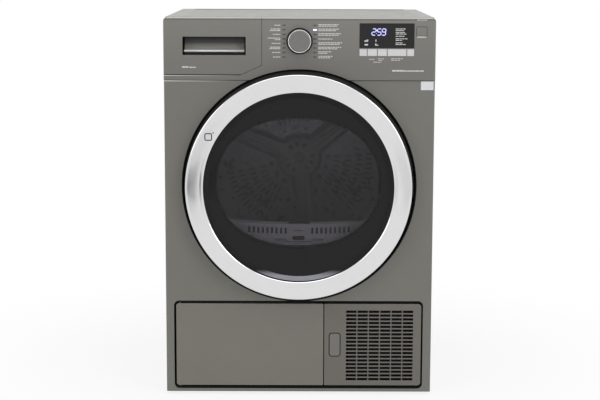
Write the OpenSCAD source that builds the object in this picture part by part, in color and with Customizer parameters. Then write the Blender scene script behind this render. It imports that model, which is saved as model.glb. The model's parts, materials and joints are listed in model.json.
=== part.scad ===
// Free-standing heat-pump clothes dryer: steel cabinet, round door, belt-driven drum,
// drawer-type water tank and a serviced heat-pump base. Millimetres, +Z up, front faces -Y.
// The origin lies on the floor, in the middle of the overall box.

/* [Cabinet] */
// Width over the control panel
body_w = 595; // [585:1:720]
// Height from the floor to the top
body_h = 846; // [835:1:1020]
// Depth from the front panel to the rear panel
case_d = 552; // [545:1:680]
// Gap between the floor and the cabinet
foot_gap = 7; // [6:1:14]
// Sheet steel thickness
sheet_t = 1; // [0.7:0.1:1.4]
// Wall thickness of the large mouldings
wall_t = 3; // [2.5:0.1:3.6]
// Setback of the steel sides from the control panel's ends
side_inset = 0.5; // [0.2:0.1:2]
// Depth of the front panel's folded side edges
fold_d = 14; // [10:1:20]
// Outside radius of the front panel's folded edges
fold_r = 3; // [2:0.5:5]
// Visible seam between neighbouring outer pieces
seam = 0.8; // [0.5:0.1:1.2]
// Running clearance between moving faces
run = 0.3; // [0.2:0.05:0.4]
// Radial clearance of pins and shafts in their bores
fit = 0.05; // [0.03:0.01:0.1]
// Width of the inward flanges of the side panels
flange_w = 13; // [10:1:16]

/* [Top] */
// Thickness of the top board
top_t = 17; // [12:1:25]
// Rounding of the top board's edges
top_r = 2.5; // [1:0.5:5]
// How far the top board reaches past the rear panel
top_over = 10; // [0:1:20]

/* [Control panel] */
// Height of the control panel
fascia_h = 135.6; // [130:0.1:150]
// Depth of the control panel
fascia_d = 26; // [22:1:32]
// How far the control panel stands in front of the front panel
fascia_proud = 1.5; // [0.5:0.1:3]
// Drop of the control panel's top edge below the top board
fascia_drop = 1; // [0:0.5:3]
// Corner radius seen from the front
corner_r = 8; // [4:1:12]
// Rounding of the control panel's front edges
nose_r = 4; // [2:0.5:6]
// Programme dial: centre, measured from the middle of the cabinet
dial_x = 0; // [-10:1:20]
// Programme dial: centre, measured down from the top
dial_drop = 51; // [45:1:60]
// Programme dial: outer radius
dial_r = 27; // [22:0.5:30]
// Programme dial: how far it stands out
dial_proud = 14; // [8:1:20]
// Display window: width
lens_w = 120; // [90:1:130]
// Display window: height
lens_h = 54; // [40:1:60]
// Display window: distance from the right-hand end
lens_margin = 47; // [44:1:60]
// Display window: distance below the top
lens_drop = 12; // [10:1:16]
// Height of the option keys
key_h = 15; // [12:0.5:18]
// Widths of the five option keys, left to right
key_widths = [16, 20.5, 20, 41, 15]; // [12:0.5:42]
// Gap between neighbouring keys
key_gap = 1.6; // [1.2:0.1:2]
// Travel of a key
key_travel = 1.2; // [0.8:0.1:2]
// Start key: width
start_w = 22; // [16:1:26]
// Start key: height
start_h = 19.5; // [14:0.5:24]
// Start key: centre, measured from the right-hand end
start_margin = 31; // [28:1:34]
// Start key: centre, measured down from the top
start_drop = 29.5; // [26:0.5:40]

/* [Water tank] */
// Width of the tank drawer's front
tank_w = 215.5; // [200:0.5:222]
// Height of the control panel's strip below the drawer
strip_h = 10.3; // [8:0.1:14]
// Width of the slanted lower corner
slant_w = 48; // [44:1:60]
// Height of the slanted lower corner
slant_h = 22; // [20:1:30]
// Length of the tank
tank_len = 450; // [380:5:470]
// Wall thickness of the tank
tank_t = 2.5; // [2:0.1:3]
// Height of the tank at its deep side
tank_deep = 90; // [70:1:92]
// Width of the tank's deep side
tank_flat = 118; // [90:1:120]
// Height of the tank at its shallow side
tank_shallow = 56; // [45:1:60]
// Radius of the filler hole
filler_r = 16; // [10:1:20]
// Handle recess: width
grip_w = 138; // [110:1:150]
// Handle recess: height
grip_h = 40; // [32:1:44]
// Handle recess: depth
grip_d = 26; // [20:1:28]
// Handle recess: distance from the left-hand end
grip_margin = 42; // [36:1:46]
// Handle recess: distance below the top
grip_drop = 42; // [38:1:48]

/* [Door] */
// Height of the door's centre above the floor
door_z = 476; // [470:1:490]
// Radius of the door at its widest
door_r = 254.5; // [212:0.5:256]
// How far the door stands out of the front panel
door_proud = 35; // [30:1:45]
// Distance of the trim ring inside the door's edge
trim_in = 6; // [5:0.5:9]
// Width of the trim ring's face
trim_w = 42; // [34:1:46]
// Dark border beside the window, inside the trim ring
window_side = 21; // [16:0.5:30]
// Dark border above and below the window
window_lip = 61.5; // [52:0.5:80]
// How far the window's centre lies above the door's
window_up = 10; // [0:1:16]
// How far the inner window bulges
bulge = 28; // [16:1:32]
// Depth of the dish that the door sits in
dish_d = 10; // [8:0.5:12]
// Gap round the door
dish_gap = 3; // [2:0.5:5]
// Gap behind the door
door_gap = 2; // [1.5:0.1:3]
// Width of the ledge round the loading opening
ledge_w = 44.5; // [42:0.5:48]
// Distance of the hinge pin inside the door's edge
hinge_in = 12.5; // [12:0.5:14]
// Radius of the hinge pin
hinge_pin_r = 3; // [2:0.5:4]

/* [Drum] */
// Outer radius of the drum
drum_r = 284; // [240:1:286]
// Thickness of the drum's steel
drum_t = 1; // [0.6:0.1:1.5]
// Distance from the front panel to the drum's front edge
drum_start = 70; // [66:1:90]
// Distance from the drum's rear edge to the rear panel
drum_end = 32; // [28:1:50]
// Turn of the drum at rest
drum_rest = 8; // [0:1:40]
// Height of the lifters
lifter_h = 52; // [35:1:60]
// Radius of the drum's axle
axle_r = 10; // [8:0.5:14]
// Radius of the support rollers
roller_r = 30; // [25:1:34]
// Width of the support rollers
roller_w = 18; // [14:1:22]
// Angle of the support rollers from the lowest point
roller_angle = 36; // [32:1:40]

/* [Drive] */
// Distance of the motor's axis from the middle
motor_x = 120; // [115:1:126]
// Height of the motor's axis
motor_z = 115; // [112:1:120]
// Radius of the motor
motor_r = 60; // [50:1:62]
// Radius of the motor's belt pulley
pulley_r = 8; // [7:0.5:11]
// Radius of the idler pulley
idler_r = 20; // [16:1:22]
// Distance of the idler's axis from the middle
idler_x = 40; // [36:1:48]
// Distance of the idler's axis below the drum
idler_drop = 62; // [58:1:68]
// Width of the drum belt
belt_w = 9; // [7:1:12]
// Thickness of the drum belt
belt_t = 3; // [2:0.5:4]
// Distance from the front panel to the middle of the belt
belt_y = 330; // [310:5:335]
// Radius of the blower wheel
blower_r = 70; // [60:1:74]

/* [Kick panel] */
// Height of the kick opening above the cabinet's lower edge
kick_up = 11.2; // [11.2:0.1:16]
// Height of the kick opening
kick_h = 194.2; // [160:0.1:196]
// Corner radius of the kick opening
kick_r = 11; // [8:1:14]
// Margin of the kick opening on the left
kick_left = 18; // [18:1:26]
// Margin of the kick opening on the right
kick_right = 19; // [14:1:26]
// Gap round the panels in the kick opening
kick_gap = 3.2; // [1.8:0.1:3.6]
// Width of the grille panel
vent_w = 217.5; // [200:0.5:230]
// Grille: number of columns
vent_cols = 6; // [3:1:6]
// Grille: number of rows
vent_rows = 19; // [10:1:19]
// Grille: distance between columns
vent_dx = 25.4; // [20:0.1:25.5]
// Grille: distance between rows
vent_dz = 8.63; // [7:0.01:8.8]
// Grille: width of a rib
vent_rib = 2.3; // [1.5:0.1:4]
// Grille: height of a slot
vent_slot = 5.5; // [3:0.1:5.8]
// Grille: margin at the right
vent_margin = 18.3; // [18:0.1:26]
// Grille: centre of the lowest row above the kick opening's edge
vent_low = 17.6; // [14:0.1:22]
// Release button: width
button_w = 22.5; // [18:0.5:26]
// Release button: height
button_h = 51; // [36:1:60]
// Release button: centre, measured from the grille panel's left edge
button_in = 23.5; // [20:0.5:26]
// Release button: travel
button_travel = 3; // [2:0.5:4]

/* [Base and rear] */
// How far the rear duct cover stands behind the rear panel
duct_d = 22; // [20:1:30]
// Radius of the round part of the rear duct
duct_r = 262; // [250:1:266]
// Width of the heat-exchanger tunnel
tunnel_w = 222; // [200:1:224]
// Height of the heat-exchanger tunnel
tunnel_h = 155; // [140:1:158]
// Margin of the tunnel from the steel side
tunnel_in = 34; // [30:1:40]
// Number of fins in each heat exchanger
fin_count = 22; // [12:1:30]
// Radius of the compressor
comp_r = 60; // [50:1:62]
// Height of the compressor
comp_h = 130; // [100:1:150]
// Radius of a levelling foot
foot_r = 21; // [16:1:24]
// Radius of a levelling foot's stud
stud_r = 5; // [4:0.5:6]
// Travel of a levelling foot
foot_travel = 12; // [6:1:14]

/* [Hidden] */
$fn = 48;

// Colours
body_grey = [0.45, 0.45, 0.43];
board_grey = [0.56, 0.56, 0.54];
dark = [0.12, 0.12, 0.12];
steel = [0.75, 0.76, 0.77];
pale = [0.72, 0.73, 0.75];

// Main planes
half_w = body_w / 2;
side_x = half_w - side_inset;
y_front = -(door_proud + case_d + duct_d) / 2 + door_proud;
y_rear = y_front + case_d;
y_back = y_rear + duct_d;
y_nose = y_front - fascia_proud;
y_trim = y_front - door_proud;
board_z = body_h - top_t;
fascia_z1 = body_h - fascia_drop;
fascia_z0 = fascia_z1 - fascia_h;
panel_z1 = fascia_z0 - seam;
side_y0 = y_front + fold_d + seam;

// Door dish
dish_r = door_r + dish_gap;
open_r = dish_r - ledge_w;
y_dish = y_front + dish_d;
y_ledge = y_dish + sheet_t;
y_door = y_dish - door_gap;
trim_r = door_r - trim_in;
trim_r0 = trim_r - trim_w;
window_w = 2 * (trim_r0 - window_side);
window_h = 2 * (trim_r0 - window_lip);
window_z = door_z + window_up;
flange_z1 = fascia_z0 + 43;
collar_d = 11;

// Hook and hinge of the door
hook_x = -door_r + 21.5;
hinge_x = door_r - hinge_in;
hinge_y = y_front - 16;
lug_z0 = 25;
lug_t = 8;

// Water tank
tank_z0 = fascia_z0 + strip_h;
tank_x1 = -half_w + tank_w;
tank_y0 = y_front + 30;
tank_y1 = tank_y0 + tank_len;
tank_top = board_z - 7;
tank_bx0 = -side_x + flange_w + 2;
tank_bx1 = tank_x1 - 6;
channel_t = 2;

// Handle recess
grip_x0 = -half_w + grip_margin;
grip_z1 = body_h - grip_drop;
grip_z0 = grip_z1 - grip_h;
lip_round = 2.6;
lip_z = grip_z0 + 4 + lip_round;
scoop_z = lip_z + (grip_d - 4 + lip_round) * sin(76);

// Controls
dial_z = body_h - dial_drop;
lens_x1 = half_w - lens_margin;
lens_x0 = lens_x1 - lens_w;
lens_z1 = body_h - lens_drop;
lens_z0 = lens_z1 - lens_h;
key_x0 = lens_x0 + 0.5;
key_z1 = lens_z0 - 1.9;
start_x = half_w - start_margin;
start_z = body_h - start_drop;
board_y = y_front + 16;
board_t = 1.6;
switch_h = 4;
knob_shaft_r = 3;

// Throat, filter and drum
throat_r = open_r - 9;
collar_r = throat_r + (drum_r - throat_r) * 0.4125;
lip_r = collar_r + 7;
drum_y0 = y_front + drum_start;
drum_y1 = y_rear - drum_end;
web_y = drum_y0 - 12;
throat_y1 = drum_y0 + 16;
house_y0 = y_front + 38;
house_y1 = house_y0 + 32;
house_z = door_z - 93;
smile_r = 1785;
filter_y = (house_y0 + house_y1) / 2;

// Rear well
well_r = duct_r - 10;
well_d = 20;
y_well = y_rear - well_d;
rear_seal_r = well_r - 2;

// Rollers
roller_d = drum_r + run + roller_r;
roller_x = roller_d * sin(roller_angle);
roller_z = door_z - roller_d * cos(roller_angle);
roller_pin_r = 5;

// Base
floor_z = foot_gap + 10;
floor_t = 3;
tunnel_x0 = -side_x + tunnel_in;
tunnel_x1 = tunnel_x0 + tunnel_w;
tunnel_y0 = y_front + 34;
tunnel_y1 = y_rear - 96;
tunnel_z1 = floor_z + tunnel_h;
plenum_d = 20;
scroll_y0 = tunnel_y1 + plenum_d;
comp_x = side_x - 92;
comp_y = y_front + 210;
foot_x = side_x - 62;
foot_y0 = y_front + 50;
foot_y1 = y_rear - 45;

// Kick opening
kick_x0 = -side_x + kick_left;
kick_x1 = side_x - kick_right;
kick_z0 = foot_gap + kick_up;
kick_z1 = kick_z0 + kick_h;
vent_x1 = kick_x1 - kick_gap;
vent_x0 = vent_x1 - vent_w;
flap_x0 = kick_x0 + kick_gap;
flap_x1 = vent_x0 - 2;
flap_d = 9;
flap_in = 9.4;
flap_back = 6.5;
flap_pin_r = 3;
flap_axis_x = flap_x0 + flap_in;
flap_axis_y = y_front + flap_back;
kick_fold = 9;
button_x = vent_x0 + button_in;
button_z = kick_z0 + kick_h / 2;

// ---- outlines ----

// Points of an arc about (cx, cz), from angle a0 to a1
function arc(cx, cz, r, a0, a1, n = 8) =
    [for (i = [0:n]) [cx + r * cos(a0 + (a1 - a0) * i / n), cz + r * sin(a0 + (a1 - a0) * i / n)]];

// Rectangle with corner radius r at the left and s at the right, anticlockwise
function soft_sides(x0, z0, x1, z1, r, s) = concat(
    arc(x1 - s, z0 + s, s, -90, 0), arc(x1 - s, z1 - s, s, 0, 90),
    arc(x0 + r, z1 - r, r, 90, 180), arc(x0 + r, z0 + r, r, 180, 270));
function soft_box(x0, z0, x1, z1, r) = soft_sides(x0, z0, x1, z1, r, r);

// Corner b of an anticlockwise outline a-b-c, moved inwards by d
function unit(v) = v / norm(v);
function inward(a, b, c, d) =
    let (u = unit(b - a), v = unit(c - b), m = [-u.y, u.x], n = [-v.y, v.x])
    b + d * (m + n) / (1 + m * n);
function inset(p, d) =
    [for (i = [0:len(p) - 1]) inward(p[(i + len(p) - 1) % len(p)], p[i], p[(i + 1) % len(p)], d)];

// Flattened oval of the window: a superellipse
function oval(w, h) = [for (a = [0:6:354])
    [w / 2 * sign(cos(a)) * pow(abs(cos(a)), 2 / 2.2), h / 2 * sign(sin(a)) * pow(abs(sin(a)), 2 / 2.2)]];

// Sum of the first n numbers of a list
function total(v, n) = n == 0 ? 0 : v[n - 1] + total(v, n - 1);

// ---- shared shapes ----

// Extrudes an outline drawn in X and Z from y0 to y1
module slab(y0, y1) {
    translate([0, y1, 0]) rotate([90, 0, 0]) linear_extrude(height = y1 - y0) children();
}

// Extrudes an outline drawn in Y and Z from x0 to x1
module beam(x0, x1) {
    translate([x0, 0, 0]) rotate([90, 0, 90]) linear_extrude(height = x1 - x0) children();
}

// Revolves a profile of (radius, y) about a line along Y
module spun(cx, cz) {
    translate([cx, 0, cz]) rotate([-90, 0, 0]) rotate_extrude() children();
}

// Cylinder along Y
module rod(r, y0, y1, cx, cz) {
    translate([cx, y0, cz]) rotate([-90, 0, 0]) cylinder(r = r, h = y1 - y0);
}

// Tube along Y
module tube(r0, r1, y0, y1, cx, cz) {
    spun(cx, cz) translate([r0, y0]) square([r1 - r0, y1 - y0]);
}

// Box given by its two corners
module block(a, b) {
    translate(a) cube(b - a);
}

// Rounded front of the control panel and of the tank drawer
module facade_envelope() {
    intersection() {
        beam(-half_w, half_w) polygon(concat(
            arc(y_nose + nose_r, fascia_z1 - nose_r, nose_r, 90, 180),
            [[y_nose, fascia_z0], [y_nose + fascia_d, fascia_z0], [y_nose + fascia_d, fascia_z1]]));
        translate([0, 0, fascia_z0]) linear_extrude(height = fascia_h) polygon(concat(
            [[half_w, y_nose + fascia_d], [-half_w, y_nose + fascia_d]],
            arc(-half_w + nose_r, y_nose + nose_r, nose_r, 180, 270),
            arc(half_w - nose_r, y_nose + nose_r, nose_r, 270, 360)));
    }
}

// Lower edge of the tank drawer with its slanted corner, moved into the drawer by d
function drawer_edge(d) = inset([[-half_w - 40, tank_z0], [tank_x1 - slant_w, tank_z0],
    [tank_x1, tank_z0 + slant_h], [tank_x1, body_h + 40], [-half_w - 40, body_h + 40]], d);

function drawer_front(d) = concat(
    [[-half_w + d, tank_z0 + seam + d]],
    [for (i = [1:2]) drawer_edge(seam + d)[i]],
    [[tank_x1 - seam - d, fascia_z1 - d]],
    arc(-half_w + corner_r, fascia_z1 - corner_r, corner_r - d, 90, 180));

// Cross-section of the tank
function tank_section() = [[tank_bx0, tank_top - tank_deep], [tank_bx0 + tank_flat, tank_top - tank_deep],
    [tank_bx1, tank_top - tank_shallow], [tank_bx1, tank_top], [tank_bx0, tank_top]];

// Outline of the kick opening, moved inwards by d
module kick_outline(d) {
    polygon(soft_box(kick_x0 + d, kick_z0 + d, kick_x1 - d, kick_z1 - d, kick_r - d));
}

// ---- cabinet ----

// Folded steel side: outer sheet with inward flanges; side is -1 for left, 1 for right
module side_panel(side) {
    y1 = y_rear - sheet_t;
    color(body_grey) {
        translate([0, 0, foot_gap]) linear_extrude(height = board_z - foot_gap) polygon([
            [side * side_x, side_y0], [side * (side_x - flange_w), side_y0],
            [side * (side_x - flange_w), side_y0 + sheet_t], [side * (side_x - sheet_t), side_y0 + sheet_t],
            [side * (side_x - sheet_t), y1 - sheet_t], [side * (side_x - flange_w), y1 - sheet_t],
            [side * (side_x - flange_w), y1], [side * side_x, y1]]);
        translate([side > 0 ? side_x - flange_w : -side_x, side_y0, board_z - sheet_t])
            cube([flange_w, y1 - side_y0, sheet_t]);
    }
}

// Pressed steel front with the dish for the door and the kick opening
module front_panel() {
    color(body_grey) difference() {
        union() {
            translate([0, 0, foot_gap]) linear_extrude(height = panel_z1 - foot_gap) polygon(concat(
                arc(-side_x + fold_r, y_front + fold_r, fold_r, 180, 270),
                arc(side_x - fold_r, y_front + fold_r, fold_r, 270, 360),
                [[side_x, y_front + fold_d], [side_x - sheet_t, y_front + fold_d]],
                arc(side_x - fold_r, y_front + fold_r, fold_r - sheet_t, 360, 270),
                arc(-side_x + fold_r, y_front + fold_r, fold_r - sheet_t, 270, 180),
                [[-side_x + sheet_t, y_front + fold_d], [-side_x, y_front + fold_d]]));
            // step back to the flange that carries the control panel
            block([-side_x + fold_d, y_front, panel_z1 - sheet_t], [side_x - fold_d, y_ledge, panel_z1]);
            slab(y_dish, y_ledge) polygon([
                [-side_x + fold_d, panel_z1 - sheet_t], [side_x - fold_d, panel_z1 - sheet_t],
                [side_x - fold_d, flange_z1], [tank_x1 + 7, flange_z1],
                [tank_x1 + 7, tank_z0 + slant_h], [tank_x1 - slant_w - 5, tank_z0 - 4],
                [-side_x + fold_d, tank_z0 - 4]]);
            // dish with its ledge, and the collar of the loading opening
            rod(dish_r + sheet_t, y_dish, y_ledge, 0, door_z);
            intersection() {
                rod(dish_r + sheet_t, y_front, y_ledge, 0, door_z);
                block([-side_x, y_front, 0], [side_x, y_ledge, panel_z1]);
            }
            rod(open_r + sheet_t, y_dish, y_dish + collar_d, 0, door_z);
            slab(y_front, y_front + kick_fold) kick_outline(-sheet_t);
        }
        rod(dish_r, y_front - 1, y_dish, 0, door_z);
        rod(open_r, y_front - 1, y_dish + collar_d + 1, 0, door_z);
        slab(y_front - 1, y_front + kick_fold + 1) kick_outline(0);
        hook_slot(y_dish - 1, y_ledge + 1);
        translate([flap_axis_x, flap_axis_y, 0]) cylinder(r = flap_pin_r + fit, h = kick_z1 + 10);
    }
}

// Slot in the ledge for the door's hook
module hook_slot(y0, y1) {
    block([hook_x - 5.5, y0, door_z - 9], [hook_x + 5.5, y1, door_z + 9]);
}

module top_panel() {
    y0 = y_nose + fascia_d + seam;
    y1 = y_rear + top_over;
    x1 = half_w - 1.5;
    color(board_grey) intersection() {
        translate([0, 0, board_z]) linear_extrude(height = top_t) polygon(soft_box(-x1, y0, x1, y1, 6));
        beam(-x1, x1) polygon(soft_box(y0, board_z, y1, body_h, top_r));
        slab(y0, y1) polygon(soft_box(-x1, board_z, x1, body_h, top_r));
    }
}

// Pressed rear wall with the well behind the drum and its air windows
module rear_panel() {
    color(steel) difference() {
        union() {
            slab(y_rear - sheet_t, y_rear) polygon([[-side_x, foot_gap + 3], [side_x, foot_gap + 3],
                [side_x, board_z], [-side_x, board_z]]);
            rod(well_r, y_well - sheet_t, y_rear, 0, door_z);
        }
        rod(well_r - sheet_t, y_well, y_rear + 1, 0, door_z);
        rod(axle_r + 4, y_well - 2, y_well + 1, 0, door_z);
        slab(y_well - 2, y_well + 1) for (k = [0:5]) rotate_about(k * 60) air_window();
        // outlet of the blower
        block([motor_x - 45, y_rear - 3, motor_z + 30], [motor_x + 45, y_rear + 1, motor_z + 62]);
        // cooling slots behind the compressor
        for (k = [0:8]) block([side_x - 82 + k * 7.5, y_rear - 3, 60], [side_x - 78.5 + k * 7.5, y_rear + 1, 120]);
        // hole for the cord gland
        rod(9, y_rear - 3, y_rear + 1, -side_x + 70, 70);
    }
}

// Turns a flat shape about the drum's axis
module rotate_about(a) {
    translate([0, door_z]) rotate(a) children();
}

// One of six windows between the spokes of the well
module air_window() {
    difference() {
        intersection() {
            circle(r = rear_seal_r - 24);
            polygon([[0, 0], [300 * cos(26), -300 * sin(26)], [300 * cos(26), 300 * sin(26)]]);
        }
        circle(r = 88);
    }
}

// Outline of the rear duct: a disc and the leg up from the blower, moved inwards by d
module duct_outline(d) {
    translate([0, door_z]) circle(r = duct_r - d);
    polygon(soft_box(motor_x - 68 + d, motor_z + 18 + d, motor_x + 68 - d, door_z, 14));
}

module rear_duct_cover() {
    color(steel) difference() {
        union() {
            slab(y_rear, y_back) duct_outline(0);
            slab(y_rear, y_rear + sheet_t) duct_outline(-7);
        }
        difference() {
            slab(y_rear - 1, y_back - sheet_t) duct_outline(sheet_t);
            // floor of the pressed-in middle
            rod(151 + sheet_t, y_back - 7 - sheet_t, y_back, 0, door_z);
        }
        rod(151, y_back - 7, y_back + 1, 0, door_z);
    }
}

// ---- control panel ----

module fascia_outline(d) {
    difference() {
        polygon(concat([[-half_w + d, fascia_z0 + d], [half_w - d, fascia_z0 + d]],
            arc(half_w - corner_r, fascia_z1 - corner_r, corner_r - d, 0, 90),
            [[-half_w + d, fascia_z1 - d]]));
        polygon(drawer_edge(-d));
        translate([0, door_z]) circle(r = dish_r + d);
    }
}

function key_x(i) = key_x0 + total(key_widths, i) + i * key_gap;

module key_hole(x0, z0, w, h) {
    block([x0 - run, y_nose - 1, z0 - run], [x0 + w + run, y_nose + wall_t + 1, z0 + h + run]);
}

module control_panel() {
    color(body_grey) {
        difference() {
            intersection() {
                slab(y_nose, y_nose + fascia_d) fascia_outline(0);
                facade_envelope();
            }
            slab(y_nose + wall_t, y_nose + fascia_d + 1) fascia_outline(wall_t);
            // the front panel's flange stands here
            block([-half_w - 1, y_dish, fascia_z0 - 1], [half_w + 1, y_dish + 40, flange_z1 + 0.5]);
            // the steel side stands here
            block([side_x - wall_t - 1.5, side_y0 - seam, 0], [half_w + 1, y_nose + fascia_d + 1, board_z + seam]);
            rod(dial_r + 1.3, y_nose - 1, y_nose + 1.3, dial_x, dial_z);
            rod(knob_shaft_r + 3, y_nose - 1, y_nose + wall_t + 1, dial_x, dial_z);
            block([lens_x0, y_nose - 1, lens_z0], [lens_x1, y_nose + wall_t + 1, lens_z1]);
            for (i = [0:4]) key_hole(key_x(i), key_z1 - key_h, key_widths[i], key_h);
            key_hole(start_x - start_w / 2, start_z - start_h / 2, start_w, start_h);
        }
        // bosses that carry the control board
        for (x = [-60, 60, lens_x0 - 12, half_w - 21]) {
            rod(3.5, y_nose + wall_t - 0.5, board_y, x, flange_z1 + 9);
            rod(3.5, y_nose + wall_t - 0.5, board_y, x, fascia_z1 - 13);
        }
    }
}

module display_window() {
    color(dark) {
        block([lens_x0 + 0.2, y_nose + 0.3, lens_z0 + 0.2], [lens_x1 - 0.2, y_nose + wall_t, lens_z1 - 0.2]);
        block([lens_x0 - 3, y_nose + wall_t, lens_z0], [lens_x1 + 3, y_nose + wall_t + 1.5, lens_z1 + 3]);
    }
}

// Circuit board with the display unit, the encoder and the key switches
module control_board() {
    color([0.1, 0.3, 0.2]) difference() {
        union() {
            block([-72, board_y, flange_z1 + 4], [half_w - 16, board_y + board_t, fascia_z1 - 8]);
            rod(9.5, board_y - 8.5, board_y + 0.5, dial_x, dial_z);
            block([lens_x0 + 3, y_nose + wall_t + 1.8, lens_z0 + 3], [lens_x1 - 3, board_y + 0.5, lens_z1 - 3]);
            for (i = [0:4]) key_switch(key_x(i) + key_widths[i] / 2, key_z1 - key_h / 2);
            key_switch(start_x, start_z);
            // power parts on the rear face
            block([20, board_y + 1, flange_z1 + 12], [52, board_y + 10, flange_z1 + 38]);
            block([-48, board_y + 1, flange_z1 + 16], [-24, board_y + 9, flange_z1 + 34]);
            for (k = [0:2]) rod(6, board_y + 1, board_y + 11, 76 + k * 17, fascia_z1 - 34);
        }
        rod(knob_shaft_r + fit, board_y - 10, board_y + 3, dial_x, dial_z);
    }
}

module key_switch(x, z) {
    block([x - 3, board_y - switch_h, z - 3], [x + 3, board_y + 0.5, z + 3]);
}

// Dial with a dished face, a grip skirt and its shaft
module programme_knob() {
    y0 = y_nose + 1;
    y1 = y_nose - dial_proud;
    color([0.48, 0.48, 0.46]) spun(dial_x, dial_z) polygon([
        [0, board_y - 1.5], [0, y1 + 0.6], [dial_r - 3.4, y1 + 0.6], [dial_r - 3, y1], [dial_r - 1.6, y1],
        [dial_r - 1.2, y1 + 0.6], [dial_r, y0 - 2], [dial_r, y0], [dial_r - 2, y0], [dial_r - 2.8, y1 + 2.6],
        [knob_shaft_r + 2, y1 + 2.6], [knob_shaft_r + 2, y0], [knob_shaft_r, y0 + 1], [knob_shaft_r, board_y - 1.5]]);
}

// Key cap with its retaining edge and stem
module key_cap(x0, z0, w, h) {
    yb = y_nose + wall_t + 0.2;
    block([x0, y_nose - 0.5, z0], [x0 + w, yb + 0.2, z0 + h]);
    block([x0 - 0.6, yb, z0 - 0.9], [x0 + w + 0.6, yb + 1.5, z0 + h + 0.9]);
    rod(2, yb + 1.3, board_y - switch_h - key_travel - 0.1, x0 + w / 2, z0 + h / 2);
}

module option_key(i) {
    color([0.8, 0.8, 0.81]) key_cap(key_x(i), key_z1 - key_h, key_widths[i], key_h);
}

module start_key() {
    color(body_grey) key_cap(start_x - start_w / 2, start_z - start_h / 2, start_w, start_h);
}

// ---- water tank ----

module tank_front() {
    color(body_grey) {
        difference() {
            union() {
                difference() {
                    intersection() {
                        slab(y_nose, y_front + 9) polygon(drawer_front(0));
                        facade_envelope();
                    }
                    slab(y_nose + wall_t, y_front + 10) polygon(drawer_front(wall_t));
                }
                // lips that reach back to the top board and to the steel side
                intersection() {
                    slab(y_front + 8, y_nose + fascia_d) difference() {
                        polygon(drawer_front(0));
                        polygon(drawer_front(wall_t));
                    }
                    union() {
                        block([-half_w, y_front, fascia_z1 - corner_r], [tank_x1, y_nose + fascia_d, fascia_z1]);
                        block([-half_w, y_front, tank_z0 + 8], [-half_w + corner_r, side_y0 - seam, fascia_z1]);
                    }
                }
                slab(y_nose + wall_t - 0.5, y_nose + grip_d + 2)
                    polygon(soft_box(grip_x0 - 2, grip_z0 - 2, grip_x0 + grip_w + 2, grip_z1 + 2, 4));
            }
            slab(y_nose - 1, y_nose + grip_d)
                polygon(soft_box(grip_x0, grip_z0, grip_x0 + grip_w, grip_z1, 2));
        }
        // scooped back of the recess with its rounded lip
        beam(grip_x0 - 1, grip_x0 + grip_w + 1) polygon(concat(
            [[y_nose + grip_d + 1, lip_z - lip_round], [y_nose + grip_d + 1, scoop_z]],
            arc(y_nose + 4, scoop_z, grip_d - 4, 0, -76, 14),
            arc(y_nose + 4 + (grip_d - 4 + lip_round) * cos(76), lip_z, lip_round, 104, 270)));
        // arms that hold the tank
        for (x = [grip_x0 + 12, grip_x0 + grip_w - 32]) {
            block([x, y_nose + wall_t - 0.5, tank_top], [x + 20, tank_y0 + 16, tank_top + 2.5]);
            block([x, y_nose + wall_t - 0.5, grip_z0 - 14], [x + 20, tank_y0, grip_z0 - 11]);
        }
    }
}

module water_tank() {
    color(pale) {
        difference() {
            slab(tank_y0, tank_y1) polygon(tank_section());
            slab(tank_y0 + tank_t, tank_y1 - tank_t) polygon(inset(tank_section(), tank_t));
            translate([tank_bx0 + 62, tank_y1 - 70, tank_top - 10]) cylinder(r = filler_r, h = 20);
        }
        // collar round the filler hole
        translate([tank_bx0 + 62, tank_y1 - 70, tank_top - 0.5]) difference() {
            cylinder(r = filler_r + 4, h = 3);
            translate([0, 0, -1]) cylinder(r = filler_r, h = 5);
        }
    }
}

// Trough that carries the tank
module tank_channel() {
    y0 = tank_y0 - 8;
    y1 = tank_y1 + 4;
    wall_z = tank_top - 26;
    color(dark) {
        difference() {
            slab(y0, y1) polygon(inset(tank_section(), -run - channel_t));
            slab(y0 - 1, y1 - channel_t) polygon(inset(tank_section(), -run));
            block([-half_w, y0 - 1, wall_z], [half_w, y1 + 1, body_h]);
        }
        // rail on the steel side
        block([-side_x + sheet_t, y0 + 20, wall_z - 2], [tank_bx0 - run, y1, wall_z]);
        // stay to the rear wall
        block([tank_bx0 + 20, y1 - 1, wall_z - 26], [tank_bx0 + 90, y_rear - sheet_t, wall_z - 23]);
    }
}

// ---- door ----

module door_ring() {
    r0 = trim_r0;
    color(steel) spun(0, door_z) polygon([
        [r0 - 3.5, y_trim + 6.7], [r0, y_trim + 0.8], [r0 + 1.5, y_trim], [trim_r - 3, y_trim],
        [trim_r, y_trim + 2.5], [trim_r, y_trim + 6.7], [trim_r - 2, y_trim + 6.7],
        [trim_r - 2, y_trim + 3], [trim_r - 3.5, y_trim + 2], [r0 + 2.3, y_trim + 2], [r0 - 1, y_trim + 6.7]]);
}

// Smoked outer pane, slightly domed
module door_glass() {
    r = trim_r0 + 0.5;
    rise = 5;
    y0 = y_trim + 7;
    color([0.1, 0.1, 0.1, 0.6]) spun(0, door_z) polygon(concat(
        [for (i = [0:5]) [r * i / 5, y0 + rise * i * i / 25]],
        [for (i = [5:-1:0]) [r * i / 5, y0 + 3 + rise * i * i / 25]]));
}

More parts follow.
